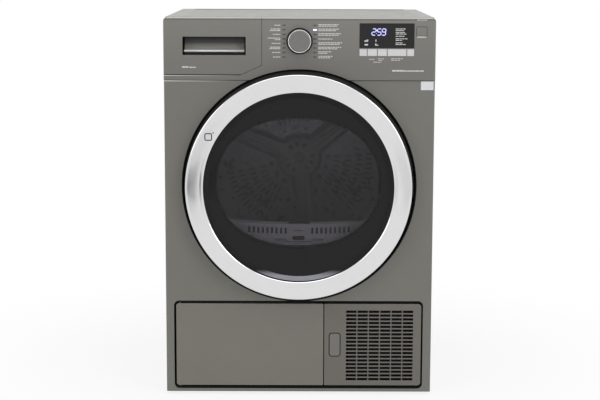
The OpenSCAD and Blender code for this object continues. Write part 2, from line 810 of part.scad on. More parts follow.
// Black carrier: flared rim, shelf for the trim ring and seat for the pane
module door_frame() {
    r0 = trim_r0;
    yf = y_trim + 2;
    color(dark) difference() {
        spun(0, door_z) polygon([
            [door_r - 4.5, y_door], [door_r, y_front], [trim_r + 1, y_trim + 7], [trim_r - 2.3, y_trim + 7],
            [trim_r - 2.3, yf + 1.2], [trim_r - 3.7, yf], [r0 + 2.4, yf], [r0 + 0.8, y_trim + 6.8], [r0 + 0.8, y_trim + 15],
            [r0 - 8, y_trim + 15], [r0 - 8, y_trim + 18], [r0 + 4, y_trim + 18], [r0 + 4, yf + 3],
            [trim_r - 5.3, yf + 3], [trim_r - 5.3, y_trim + 10], [trim_r - 2.2, y_trim + 10],
            [door_r - 3, y_front], [door_r - 7.5, y_door]]);
        hinge_pocket();
    }
}

// Room for the hinge: slots for the two lugs, the barrel and the plate
module hinge_pocket() {
    for (s = [-1, 1]) translate([0, 0, s * (lug_z0 + lug_t / 2)])
        block([hinge_x - 27, hinge_y - 7.5, door_z - lug_t / 2 - 1.2],
            [hinge_x + 40, y_door + 1, door_z + lug_t / 2 + 1.2]);
    translate([hinge_x, hinge_y, door_z - lug_z0]) cylinder(r = 7, h = 2 * lug_z0);
    block([hinge_x - 30, y_dish - 4.5, door_z - 46], [hinge_x + 40, y_door + 1, door_z + 46]);
}

// Inner moulding: back plate, oval tube and mask round the window
module door_liner() {
    y_mask = y_trim + 18;
    y_plate = y_door - 3;
    color(dark) difference() {
        union() {
            rod(door_r - 8.2, y_plate, y_door, 0, door_z);
            rod(trim_r0 + 3.5, y_mask, y_mask + 2, 0, door_z);
            slab(y_mask, y_door) translate([0, window_z]) polygon(inset(oval(window_w, window_h), -3));
        }
        slab(y_mask - 1, y_door + 1) translate([0, window_z]) polygon(oval(window_w, window_h));
        hinge_pocket();
        block([hook_x - 2.2, y_plate - 1, door_z - 7.2], [hook_x + 2.2, y_door + 1, door_z + 7.2]);
    }
}

// Clear inner window: an oval tub with a bulging back
module door_bowl() {
    color([0.8, 0.85, 0.85, 0.4]) {
        difference() {
            intersection() {
                slab(y_door, y_door + bulge + 4) translate([0, window_z]) polygon(oval(window_w, window_h));
                bulged(bulge + 2);
            }
            intersection() {
                slab(y_door - 1, y_door + bulge + 4)
                    translate([0, window_z]) polygon(inset(oval(window_w, window_h), 3));
                bulged(bulge - 1);
            }
        }
        // flange on the door's back plate
        difference() {
            slab(y_door, y_door + 2) translate([0, window_z]) polygon(inset(oval(window_w, window_h), -7));
            slab(y_door - 1, y_door + 3) translate([0, window_z]) polygon(inset(oval(window_w, window_h), 1));
        }
    }
}

// Solid under the bulge, standing out by d in its middle
module bulged(d) {
    r = window_w / 2 + 4;
    spun(0, window_z) polygon(concat([[0, y_door - 2], [r, y_door - 2]],
        [for (i = [5:-1:0]) [r * i / 5, y_door + d - bulge * i * i / 25]]));
}

module door_hook() {
    x = hook_x;
    y1 = y_ledge + 15;
    color(steel) translate([0, 0, door_z - 7]) linear_extrude(height = 14) polygon([
        [x - 8, y_door - 3 - 2], [x + 8, y_door - 3 - 2], [x + 8, y_door - 3], [x + 2, y_door - 3],
        [x + 2, y1 - 6], [x + 2.9, y1 - 4], [x + 1.2, y1], [x - 1.2, y1], [x - 2, y1 - 2], [x - 2, y_door - 3],
        [x - 8, y_door - 3]]);
}

// Fixed half of the hinge: plate on the ledge, two lugs and the pin
module door_hinge() {
    color(steel) {
        block([open_r + 9.5, y_dish - 2.5, door_z - 44], [hinge_x - 6, y_dish, door_z + 44]);
        for (s = [-1, 1]) translate([0, 0, door_z + s * (lug_z0 + lug_t / 2) - lug_t / 2])
            linear_extrude(height = lug_t) union() {
                translate([hinge_x, hinge_y]) circle(r = 6);
                polygon([[open_r + 10, y_dish - 1], [hinge_x - 4.5, hinge_y - 3.5],
                    [hinge_x + 4, hinge_y + 4], [hinge_x - 9, y_dish - 1]]);
            }
        translate([hinge_x, hinge_y, door_z - lug_z0 - lug_t - 2])
            cylinder(r = hinge_pin_r, h = 2 * (lug_z0 + lug_t + 2));
    }
}

// Moving half of the hinge: barrel, web and the leaf on the door's shelf
module door_hinge_arm() {
    leaf_y = y_trim + 5;
    color(steel) difference() {
        translate([0, 0, door_z - lug_z0 + run]) linear_extrude(height = 2 * (lug_z0 - run)) union() {
            translate([hinge_x, hinge_y]) circle(r = 6);
            polygon([[hinge_x - 29, leaf_y], [hinge_x - 4, leaf_y], [hinge_x - 4, leaf_y + 2.5],
                [hinge_x + 4, hinge_y - 3], [hinge_x - 4, hinge_y + 3.5], [hinge_x - 16, leaf_y + 3],
                [hinge_x - 29, leaf_y + 3]]);
        }
        translate([hinge_x, hinge_y, door_z - 100]) cylinder(r = hinge_pin_r + fit, h = 200);
    }
}

// Latch housing behind the ledge, with its roller
module door_catch() {
    x = hook_x;
    color(dark) {
        difference() {
            block([x - 14, y_ledge, door_z - 20], [x + 13, y_ledge + 22, door_z + 20]);
            block([x - 6, y_ledge - 1, door_z - 10], [x + 7.5, y_ledge + 19, door_z + 10]);
        }
        translate([x + 6.6, y_ledge + 7, door_z - 11]) cylinder(r = 2.2, h = 22);
    }
}

module door_seal() {
    color(dark) spun(0, door_z) polygon([
        [open_r - 3, y_door + run], [open_r + 9, y_door + run], [open_r + 9, y_dish],
        [open_r - 0.1, y_dish], [open_r - 0.1, y_dish + collar_d - 1], [open_r - 3, y_dish + collar_d - 1]]);
}

// ---- front bulkhead and filter ----

function chute_section() = [[-118, door_z - 160], [-164, tunnel_z1 + 60], [-164, tunnel_z1 + floor_t],
    [-48, tunnel_z1 + floor_t], [30, door_z - 266], [118, door_z - 214], [118, door_z - 160]];

module front_bulkhead() {
    y1 = y_ledge + wall_t;
    hole_r = open_r + sheet_t + run;
    y_cone = y_dish + collar_d + 2;
    color([0.3, 0.3, 0.31]) difference() {
        union() {
            difference() {
                union() {
                    // mounting plate
                    slab(y_ledge, y1) polygon([[-side_x + sheet_t, kick_z1 + 2], [side_x - sheet_t, kick_z1 + 2],
                        [side_x - sheet_t, flange_z1 - 4], [tank_x1 + 2, flange_z1 - 4],
                        [tank_bx0 + tank_flat + 8, tank_top - tank_deep - 10],
                        [-side_x + sheet_t, tank_top - tank_deep - 10]]);
                    // ribs between plate and web
                    for (a = [15:30:345]) translate([0, 0, door_z]) rotate([0, a, 0])
                        block([throat_r + 1, y1 - 0.5, -1.2], [collar_r, web_y + 1, 1.2]);
                    // air chute down to the tunnel
                    slab(y_ledge, web_y + wall_t) polygon(chute_section());
                }
                slab(y1, web_y) polygon(inset(chute_section(), 2.5));
                spun(0, door_z) polygon([[0, y_ledge - 1], [hole_r + 1, y_ledge - 1], [hole_r + 1, y_cone],
                    [throat_r + 1, y_cone + 10], [throat_r + 1, throat_y1 + 1], [0, throat_y1 + 1]]);
            }
            // throat, web and the collar that the drum turns on
            spun(0, door_z) polygon([
                [hole_r, y_ledge], [hole_r, y_cone], [throat_r, y_cone + 10],
                [throat_r, throat_y1], [throat_r + wall_t, throat_y1], [throat_r + wall_t, web_y + wall_t],
                [collar_r - wall_t, web_y + wall_t], [collar_r - wall_t, throat_y1], [collar_r, throat_y1],
                [collar_r, web_y], [throat_r + wall_t, web_y], [throat_r + wall_t, y_cone + 11],
                [hole_r + wall_t, y_cone + 1], [hole_r + wall_t, y_ledge]]);
            // roller bosses and pins
            for (s = [-1, 1]) {
                rod(12, y1 - 0.5, drum_y0 + 1.5, s * roller_x, roller_z);
                rod(roller_pin_r, drum_y0, drum_y0 + 2 + roller_w + 5, s * roller_x, roller_z);
            }
        }
        // mouths of the chute, at the filter and at the tunnel
        block([-104, house_y0 + 4, door_z - throat_r - 20], [104, web_y, door_z - 150]);
        tunnel_mouth();
        block([hook_x - 15, y_ledge - 1, door_z - 21], [hook_x + 14, y1 + 1, door_z + 21]);
    }
}

// Opening through which the air drops into the tunnel
module tunnel_mouth() {
    block([-158, tunnel_y0 + 3, tunnel_z1 - 1], [-56, web_y - 2, tunnel_z1 + 10]);
}

// Shell of the filter's pocket: the lower segment of the throat under a shallow curve
module house_outline(d) {
    difference() {
        translate([0, door_z]) circle(r = throat_r - run - d);
        translate([0, house_z + smile_r]) circle(r = smile_r + d, $fn = 360);
    }
}

function smile_z(x) = house_z + smile_r - sqrt(smile_r * smile_r - x * x);

module filter_housing() {
    color([0.6, 0.61, 0.64]) difference() {
        slab(house_y0, house_y1) house_outline(0);
        slab(house_y0 + 2.5, house_y1 - 2.5) house_outline(2.5);
        // way in for the filter and way out for the air
        block([-120, filter_y - 7, house_z - 40], [120, filter_y + 7, house_z + 40]);
        block([-100, house_y0 + 5, door_z - throat_r - 5], [100, house_y1 - 5, door_z - throat_r + 30]);
        for (s = [-1, 1]) for (k = [0:12])
            block([s * (30 + 10.2 * k) - 2.4, house_y0 - 1, smile_z(30 + 10.2 * k) - 22],
                [s * (30 + 10.2 * k) + 2.4, house_y0 + 4, smile_z(30 + 10.2 * k) - 8]);
    }
}

// Filter frame with two fine screens and a grip
module lint_filter() {
    color([0.66, 0.67, 0.7]) {
        difference() {
            intersection() {
                slab(filter_y - 5, filter_y + 5) house_outline(3.5);
                block([-119, filter_y - 6, 0], [119, filter_y + 6, body_h]);
            }
            for (s = [-1, 1]) block([s * 60 - 48, filter_y - 6, door_z - 168], [s * 60 + 48, filter_y + 6, house_z - 16]);
        }
        for (s = [-1, 1])
            block([s * 60 - 48.5, filter_y - 0.5, door_z - 168.5], [s * 60 + 48.5, filter_y + 0.5, house_z - 15.5]);
        block([-24, filter_y - 5, house_z - 10], [24, filter_y + 5, house_z + 3]);
    }
}

module moisture_sensors() {
    color(steel) for (s = [-1, 1])
        block([s * 41 - 13, house_y0 - 1.2, house_z - 37], [s * 41 + 13, house_y0, house_z - 32]);
}

// ---- drum ----

module drum_shell() {
    bead = [[drum_r - 0.4, -5], [drum_r + 2, -2.5], [drum_r + 2, 2.5], [drum_r - 0.4, 5]];
    color(steel) {
        difference() {
            spun(0, door_z) polygon([[lip_r, drum_y0], [drum_r - 6, drum_y0], [drum_r, drum_y0 + 6], [drum_r, drum_y1],
                [drum_r - drum_t, drum_y1], [drum_r - drum_t, drum_y0 + 6 + drum_t],
                [drum_r - 6 - drum_t, drum_y0 + drum_t], [lip_r + drum_t, drum_y0 + drum_t],
                [lip_r + drum_t, drum_y0 + 14], [lip_r, drum_y0 + 14]]);
        }
        for (y = [60, 130, 330, 400]) spun(0, door_z) translate([0, drum_y0 + y]) polygon(bead);
    }
}

// Three arms and a hub, pressed forward out of the drum's back; moved inwards by d
module star_outline(d) {
    circle(r = 60 - d);
    for (a = [30, 150, 270]) rotate(a) polygon(inset([[0, -30], [232, -22], [232, 22], [0, 30]], d));
}

module drum_turned() {
    translate([0, door_z]) rotate(drum_rest) children();
}

module drum_back() {
    r = drum_r - drum_t - 0.1;
    arm_d = 12;
    yp = drum_y1 - drum_t;
    color(steel) {
        difference() {
            union() {
                rod(r, yp, drum_y1, 0, door_z);
                tube(r - drum_t, r, drum_y1 - 14, drum_y1, 0, door_z);
                slab(yp - arm_d, drum_y1) drum_turned() star_outline(0);
            }
            slab(yp - arm_d + drum_t, drum_y1 + 1) drum_turned() star_outline(drum_t);
            slab(yp - 1, drum_y1 + 1) drum_turned() for (a = [90, 210, 330]) rotate(a) vent_slots();
        }
        // hub and axle
        spun(0, door_z) polygon([[0, yp - arm_d + 0.5], [46, yp - arm_d + 0.5], [44, yp - arm_d + 4],
            [axle_r + 8, drum_y1 + 2], [axle_r, drum_y1 + 4], [axle_r, y_back - 12], [0, y_back - 12]]);
    }
}

// Slots of one third of the drum's back, fanned about +X
module vent_slots() {
    for (row = [0:3]) for (k = [-3 - row:3 + row])
        rotate(k * 12.5 / (98 + 27 * row) * 57.3) translate([90 + 27 * row, -2.2]) square([16, 4.4]);
    for (a = [-22, 0, 22]) rotate(a) translate([73, 0]) circle(r = 5);
}

// Hollow lifter seated on the drum's wall
module lifter_section(d) {
    polygon(concat([[-drum_r - 5, -32 + d]],
        arc(-drum_r + lifter_h - 9, 0, 9 - d, -90, 90),
        [[-drum_r - 5, 32 - d]]));
}

module drum_lifters() {
    color(steel) intersection() {
        slab(drum_y0 + 16, drum_y1 - 24) drum_turned() for (a = [30, 150, 270]) rotate(a + 180) difference() {
            lifter_section(0);
            lifter_section(2.5);
        }
        rod(drum_r - drum_t - 0.1, drum_y0, drum_y1, 0, door_z);
    }
}

// Felt rings in front of and behind the drum
module drum_seals() {
    color([0.85, 0.84, 0.8]) {
        tube(collar_r + 0.1, lip_r - run, drum_y0 + 1, drum_y0 + 13, 0, door_z);
        tube(rear_seal_r - 18, rear_seal_r, drum_y1 + run, y_well - sheet_t, 0, door_z);
    }
}

module drum_bearing() {
    color([0.5, 0.5, 0.52]) spun(0, door_z) polygon([
        [axle_r + fit, y_well], [axle_r + 36, y_well], [axle_r + 36, y_well + 4], [axle_r + 14, y_well + 7],
        [axle_r + 10, y_well + 22], [axle_r + fit, y_well + 22]]);
}

module support_roller(side) {
    y0 = drum_y0 + 2;
    color(dark) spun(side * roller_x, roller_z) polygon([
        [roller_pin_r + fit, y0], [roller_pin_r + 6, y0], [roller_pin_r + 6, y0 + 5], [roller_r - 7, y0 + 5],
        [roller_r - 7, y0 + 2], [roller_r - 1, y0 + 2], [roller_r, y0 + 3], [roller_r, y0 + roller_w - 3],
        [roller_r - 1, y0 + roller_w - 2], [roller_r - 7, y0 + roller_w - 2], [roller_r - 7, y0 + roller_w - 5],
        [roller_pin_r + 6, y0 + roller_w - 5], [roller_pin_r + 6, y0 + roller_w], [roller_pin_r + fit, y0 + roller_w]]);
}

// ---- drive ----

motor_y0 = 90;
motor_len = 95;
shaft_r = 6;
wheel_y0 = scroll_y0 + 7;
belt_mid = y_front + belt_y;
idler_pin_r = 4;
idler_z = door_z - drum_r - idler_drop;
arm_y = belt_mid + 18;

// Circles that the belt runs round: drum, idler, pulley; negative where it passes outside
belt_c = [[0, door_z], [idler_x, idler_z], [motor_x, motor_z]];
belt_rho = [drum_r + run + belt_t / 2, -(idler_r + run + belt_t / 2), pulley_r + run + belt_t / 2];

// Direction of the straight run that leaves circle i
function run_angle(i) = let (j = (i + 1) % 3, v = belt_c[j] - belt_c[i])
    atan2(v.y, v.x) + asin((belt_rho[i] - belt_rho[j]) / norm(v));

// The belt's middle line, moved outwards by d
function belt_line(d) = let (b = [for (i = [0:2]) run_angle(i)]) concat(
    arc(belt_c[0].x, belt_c[0].y, belt_rho[0] + d, b[2] - 90, b[0] + 270, 96),
    arc(belt_c[1].x, belt_c[1].y, -belt_rho[1] - d, b[0] + 90, b[1] + 90, 6),
    arc(belt_c[2].x, belt_c[2].y, belt_rho[2] + d, b[1] - 90, b[2] - 90, 12));

module drum_belt() {
    color(dark) slab(belt_mid - belt_w / 2, belt_mid + belt_w / 2) difference() {
        polygon(belt_line(belt_t / 2));
        polygon(belt_line(-belt_t / 2));
    }
}

module drive_motor() {
    y1 = motor_y0 + motor_len;
    color([0.4, 0.42, 0.45]) {
        spun(motor_x, motor_z) polygon([[shaft_r + fit, motor_y0 - 6], [14, motor_y0 - 6], [14, motor_y0],
            [motor_r - 6, motor_y0], [motor_r, motor_y0 + 6], [motor_r, y1 - 6], [motor_r - 6, y1],
            [shaft_r + fit, y1]]);
        for (y = [motor_y0 + 14, y1 - 20]) slab(y, y + 6) polygon([[motor_x - 46, floor_z],
            [motor_x + 46, floor_z], [motor_x + 34, motor_z - motor_r + 16], [motor_x - 34, motor_z - motor_r + 16]]);
    }
}

// Shaft with the belt pulley
module motor_rotor() {
    y0 = belt_mid - belt_w / 2 - 2;
    y1 = belt_mid + belt_w / 2 + 2;
    r = pulley_r + 4;
    color(steel) spun(motor_x, motor_z) polygon([[0, y0 - 8], [shaft_r, y0 - 8], [shaft_r, y0 - 2], [r, y0 - 2],
        [r, y0], [pulley_r, y0], [pulley_r, y1], [r, y1], [r, y1 + 2], [shaft_r, y1 + 2],
        [shaft_r, wheel_y0 + 50], [0, wheel_y0 + 50]]);
}

// Blower wheel with forward-standing vanes
module blower_wheel() {
    color([0.3, 0.3, 0.32]) {
        spun(motor_x, motor_z) polygon([[shaft_r, wheel_y0 + 18], [13, wheel_y0 + 18], [15, wheel_y0 + 44],
            [blower_r, wheel_y0 + 44], [blower_r, wheel_y0 + 47], [shaft_r, wheel_y0 + 47]]);
        tube(blower_r - 14, blower_r, wheel_y0, wheel_y0 + 2.5, motor_x, motor_z);
        for (a = [0:30:330]) translate([motor_x, 0, motor_z]) rotate([0, a, 0])
            translate([blower_r - 13, 0, 0]) rotate([0, 20, 0]) block([0, wheel_y0 + 1, -0.8], [12, wheel_y0 + 45, 0.8]);
    }
}

module idler_arm() {
    v = unit(belt_c[1] - belt_c[2]);
    n = [-v.y, v.x];
    color(steel) {
        difference() {
            slab(arm_y, arm_y + 3) union() {
                translate(belt_c[2]) circle(r = 22);
                translate(belt_c[1]) circle(r = 9);
                polygon([belt_c[2] - 20 * n, belt_c[2] + 20 * n, belt_c[1] + 8 * n, belt_c[1] - 8 * n]);
            }
            rod(15, arm_y - 1, arm_y + 4, motor_x, motor_z);
        }
        tube(15, 22, arm_y, motor_y0, motor_x, motor_z);
        rod(idler_pin_r, belt_mid - belt_w / 2 - 5, arm_y + 1, idler_x, idler_z);
    }
}

module idler_pulley() {
    y0 = belt_mid - belt_w / 2 - 3.5;
    y1 = belt_mid + belt_w / 2 + 3.5;
    b = idler_pin_r + fit;
    color(dark) spun(idler_x, idler_z) polygon([[b, y0], [idler_r + 3, y0], [idler_r + 3, y0 + 2], [idler_r, y0 + 2.5],
        [idler_r, y1 - 2.5], [idler_r + 3, y1 - 2], [idler_r + 3, y1], [b, y1]]);
}

// ---- base ----

// Moulded base with the tunnel, the plenum and the blower's scroll
module base_tray() {
    x1 = side_x - flange_w - 0.5;
    ya = y_front + sheet_t;
    yb = y_rear - sheet_t;
    px = motor_x + 80;
    w = wall_t;
    color([0.2, 0.2, 0.21]) difference() {
        union() {
            block([-x1, ya, foot_gap + 2], [x1, yb, floor_z]);
            block([tunnel_x0, tunnel_y0, floor_z - 1], [tunnel_x1, scroll_y0 + w, tunnel_z1]);
            block([tunnel_x1 - 1, tunnel_y1, floor_z - 1], [px, scroll_y0 + w, tunnel_z1]);
            rod(blower_r + 15, scroll_y0, yb, motor_x, motor_z);
            block([motor_x - 20, scroll_y0, floor_z - 1], [motor_x + 20, yb, motor_z - blower_r]);
            for (x = [-foot_x, foot_x]) for (y = [foot_y0, foot_y1])
                translate([x, y, foot_gap + 2]) cylinder(r = stud_r + 5, h = 25);
        }
        difference() {
            block([-x1 + w, ya + w, 0], [x1 - w, yb - w, floor_z - floor_t]);
            for (x = [-foot_x, foot_x]) for (y = [foot_y0, foot_y1])
                translate([x, y, 0]) cylinder(r = stud_r + 5, h = 25);
        }
        block([tunnel_x0 + w, tunnel_y0 - 1, floor_z], [tunnel_x1 - w, scroll_y0, tunnel_z1 + 1]);
        block([tunnel_x1 - w - 1, tunnel_y1 + w, floor_z], [px - w, scroll_y0, tunnel_z1 + 1]);
        rod(blower_r + 12, scroll_y0 + w, yb + 1, motor_x, motor_z);
        rod(blower_r - 18, scroll_y0 - 1, scroll_y0 + w + 1, motor_x, motor_z);
        rod(shaft_r + 3, tunnel_y1 - 1, tunnel_y1 + w + 1, motor_x, motor_z);
        for (x = [-foot_x, foot_x]) for (y = [foot_y0, foot_y1])
            translate([x, y, 0]) cylinder(r = stud_r + fit, h = foot_gap + 40);
    }
}

module tunnel_cover() {
    color([0.2, 0.2, 0.21]) difference() {
        union() {
            block([tunnel_x0, tunnel_y0 - 4, tunnel_z1], [tunnel_x1, scroll_y0, tunnel_z1 + floor_t]);
            block([tunnel_x1 - 1, tunnel_y1, tunnel_z1], [motor_x + 80, scroll_y0 - 0.3, tunnel_z1 + floor_t]);
        }
        tunnel_mouth();
    }
}

// Finned block between y0 and y1 with return bends at both ends
module finned_block(y0, y1) {
    x0 = tunnel_x0 + wall_t + 14;
    x1 = tunnel_x1 - wall_t - 14;
    z0 = floor_z;
    z1 = tunnel_z1 - 6;
    for (z = [z0, z1 - 2]) block([x0, y0, z], [x1, y1, z + 2]);
    for (i = [0:fin_count - 1]) {
        x = x0 + (x1 - x0 - 1) * i / (fin_count - 1);
        block([x, y0, z0 + 1], [x + 1, y1, z1 - 1]);
    }
    for (y = [y0 + 18:40:y1 - 30]) for (z = [z0 + 24, z1 - 40]) for (s = [[x0 - 8, x0 + 0.5], [x1 - 0.5, x1 + 8]]) {
        translate([s[0], y, z]) rotate([0, 90, 0]) cylinder(r = 4.5, h = s[1] - s[0], $fn = 16);
        translate([s[0], y, z + 22]) rotate([0, 90, 0]) cylinder(r = 4.5, h = s[1] - s[0], $fn = 16);
        block([s[0], y - 4, z], [s[0] + 8, y + 4, z + 22]);
    }
}

// Evaporator in front, condenser behind it
module heat_exchangers() {
    color([0.8, 0.66, 0.5]) {
        finned_block(tunnel_y0 + 40, tunnel_y0 + 145);
        finned_block(tunnel_y0 + 165, tunnel_y0 + 365);
        block([tunnel_x1 - wall_t - 22, tunnel_y0 + 144, floor_z + 30],
            [tunnel_x1 - wall_t - 16, tunnel_y0 + 166, floor_z + 36]);
    }
}

// Removable cover in front of the tunnel with its two turning catches
module exchanger_cover() {
    y1 = tunnel_y0;
    color([0.55, 0.56, 0.58]) {
        block([tunnel_x0, y1 - 4, floor_z], [tunnel_x1, y1, tunnel_z1]);
        for (z = [floor_z + 30, tunnel_z1 - 33]) block([tunnel_x0 + 30, y1 - 6, z], [tunnel_x1 - 30, y1 - 3.5, z + 3]);
        for (x = [tunnel_x0 + 14, tunnel_x1 - 14]) {
            rod(10, y1 - 10, y1 - 3.5, x, (floor_z + tunnel_z1) / 2);
            block([x - 2, y1 - 14, (floor_z + tunnel_z1) / 2 - 9], [x + 2, y1 - 9.5, (floor_z + tunnel_z1) / 2 + 9]);
        }
    }
}

module compressor() {
    z0 = floor_z + 16;
    z1 = z0 + comp_h;
    color(dark) {
        translate([comp_x, comp_y, 0]) rotate_extrude() polygon(concat(
            [[0, z0], [comp_r - 8, z0], [comp_r, z0 + 10]], arc(comp_r - 24, z1 - 24, 24, 0, 90), [[0, z1]]));
        // feet on rubber bushes
        for (a = [90, 210, 330]) translate([comp_x, comp_y, 0]) rotate(a) {
            translate([0, -12, z0 - 3]) cube([comp_r + 12, 24, 4]);
            translate([comp_r + 10, 0, floor_z]) cylinder(r = 8, h = z0 - floor_z + 1);
        }
        // suction bottle
        translate([comp_x + 22, comp_y + comp_r + 20, z0 + 20]) cylinder(r = 17, h = comp_h - 50);
        translate([comp_x + 12, comp_y + comp_r - 12, z0 + 40]) cube([18, 20, 10]);
    }
}

module drain_pump() {
    color([0.75, 0.75, 0.7]) translate([10, tunnel_y1 - 40, floor_z]) {
        cylinder(r = 24, h = 22);
        cylinder(r = 17, h = 52);
        translate([-4, -36, 6]) cube([8, 20, 8]);
    }
}

module cord_gland() {
    x = -side_x + 70;
    color(dark) spun(x, 70) polygon([[4.5, y_rear - 12], [13, y_rear - 12], [13, y_rear - sheet_t], [8.8, y_rear - sheet_t],
        [8.8, y_rear], [14, y_rear], [14, y_rear + 4], [8.5, y_rear + 12], [4.5, y_rear + 12]]);
}

module levelling_foot(x, y) {
    color(dark) translate([x, y, 0]) {
        rotate_extrude() polygon([[0, 0], [foot_r - 1, 0], [foot_r, 1], [foot_r, 3], [foot_r - 6, foot_gap - 1],
            [stud_r + 2, foot_gap - 1], [stud_r + 2, foot_gap + 0.5], [stud_r, foot_gap + 0.5],
            [stud_r, foot_gap + 26], [0, foot_gap + 26]]);
    }
}

// ---- kick panels ----

function flap_shape() = soft_sides(flap_x0, kick_z0 + kick_gap, flap_x1, kick_z1 - kick_gap, kick_r - kick_gap, 2.5);
function vent_shape() = soft_sides(vent_x0, kick_z0 + kick_gap, vent_x1, kick_z1 - kick_gap, 1.5, kick_r - kick_gap);
function button_shape(d) = soft_box(button_x - button_w / 2 - d, button_z - button_h / 2 - d,
    button_x + button_w / 2 + d, button_z + button_h / 2 + d, 4 + d);

module vent_grille() {
    gx = vent_x1 - vent_margin - vent_cols * vent_dx + vent_rib;
    color(body_grey) difference() {
        union() {
            difference() {
                slab(y_front, y_front + flap_d) polygon(vent_shape());
                slab(y_front + 2.5, y_front + flap_d + 1) polygon(inset(vent_shape(), 1.4));
            }
            // frame and stop bar of the release button
            slab(y_front + 1, y_front + flap_d) polygon(button_shape(3));
            for (x = [button_x - button_w / 2 - 3, button_x + button_w / 2 + 1])
                block([x, y_front + flap_d - 1, button_z - 6], [x + 2, y_front + 13, button_z + 6]);
            block([button_x - button_w / 2 - 3, y_front + 11, button_z - 6],
                [button_x + button_w / 2 + 3, y_front + 13, button_z + 6]);
            // catch for the flap's tongue
            block([vent_x0, y_front + flap_d - 1, button_z - 12], [vent_x0 + 1.4, y_front + 13, button_z + 12]);
            block([vent_x0 - 14, y_front + 11, button_z - 12], [vent_x0 + 1.4, y_front + 13, button_z + 12]);
            // tabs that hold the panel in the kick opening
            for (x = [vent_x0 + 20, vent_x1 - 40]) {
                block([x, y_front + 5, kick_z0], [x + 16, y_front + 8, kick_z0 + kick_gap + 1]);
                block([x, y_front + 5, kick_z1 - kick_gap - 1], [x + 16, y_front + 8, kick_z1]);
            }
        }
        for (i = [0:vent_cols - 1]) for (j = [0:vent_rows - 1])
            block([gx + i * vent_dx, y_front - 1, kick_z0 + vent_low + j * vent_dz - vent_slot / 2],
                [gx + (i + 1) * vent_dx - vent_rib, y_front + 4, kick_z0 + vent_low + j * vent_dz + vent_slot / 2]);
        slab(y_front - 1, y_front + 3) polygon(button_shape(seam));
        slab(y_front + 2.5, y_front + flap_d + 1) polygon(button_shape(seam + 0.9));
        block([vent_x0 - 10, y_front + 10, button_z - 8], [vent_x0 - 5, y_front + 14, button_z + 8]);
    }
}

module flap_button() {
    color(body_grey) {
        slab(y_front, y_front + 2.9) polygon(button_shape(0));
        slab(y_front + 2.8, y_front + 4.3) polygon(button_shape(seam + 0.5));
        rod(4, y_front + 4, y_front + 7.8, button_x, button_z);
    }
}

module service_flap() {
    z0 = kick_z0 + kick_gap;
    z1 = kick_z1 - kick_gap;
    color(body_grey) {
        difference() {
            intersection() {
                slab(y_front, y_front + flap_d) polygon(flap_shape());
                translate([0, 0, z0]) linear_extrude(height = z1 - z0) polygon(concat(
                    [[flap_x1, y_front], [flap_x1, y_front + flap_d], [flap_x0, y_front + flap_d]],
                    arc(flap_x0 + 4, y_front + 4, 4, 180, 270)));
            }
            slab(y_front + 2.5, y_front + flap_d + 1) polygon(inset(flap_shape(), 2));
        }
        // barrel and pins of the hinge
        translate([flap_axis_x, flap_axis_y, z0 + 4]) cylinder(r = 4.8, h = z1 - z0 - 8);
        translate([flap_axis_x, flap_axis_y, kick_z0 - 0.8]) cylinder(r = flap_pin_r, h = kick_h + 1.6);
        // stiffening ribs and the tongue of the catch
        for (x = [flap_x0 + 90, flap_x0 + 220]) block([x, y_front + 2, z0 + 1], [x + 2, y_front + flap_d - 2, z1 - 1]);
        block([vent_x0 - 8.5, y_front + 2, button_z - 6], [vent_x0 - 6.5, y_front + 17, button_z + 6]);
    }
}

// ---- assembly ----

side_panel(-1);  // side_panel_left
side_panel(1);  // side_panel_right
front_panel();
top_panel();
rear_panel();
rear_duct_cover();
base_tray();
tunnel_cover();
control_panel();
display_window();
control_board();
tank_channel();
vent_grille();
front_bulkhead();
drum_seals();
filter_housing();
lint_filter();
moisture_sensors();
door_hinge();
door_catch();
door_seal();
drum_bearing();
drive_motor();
compressor();
heat_exchangers();
exchanger_cover();
drain_pump();
drum_belt();
idler_arm();
cord_gland();
door_ring();
door_glass();
door_frame();
door_liner();
door_bowl();
door_hook();
door_hinge_arm();
drum_shell();
drum_back();
drum_lifters();
motor_rotor();
blower_wheel();
idler_pulley();
support_roller(-1);  // support_roller_left
support_roller(1);  // support_roller_right
programme_knob();
option_key(0);  // option_key_1
option_key(1);  // option_key_2
option_key(2);  // option_key_3
option_key(3);  // option_key_4
option_key(4);  // option_key_5
start_key();
water_tank();
tank_front();
service_flap();
flap_button();
levelling_foot(-foot_x, foot_y0);  // levelling_foot_1
levelling_foot(foot_x, foot_y0);  // levelling_foot_2
levelling_foot(-foot_x, foot_y1);  // levelling_foot_3
levelling_foot(foot_x, foot_y1);  // levelling_foot_4
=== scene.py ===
import json
import math

import bpy
import numpy as np
from mathutils import Matrix, Vector


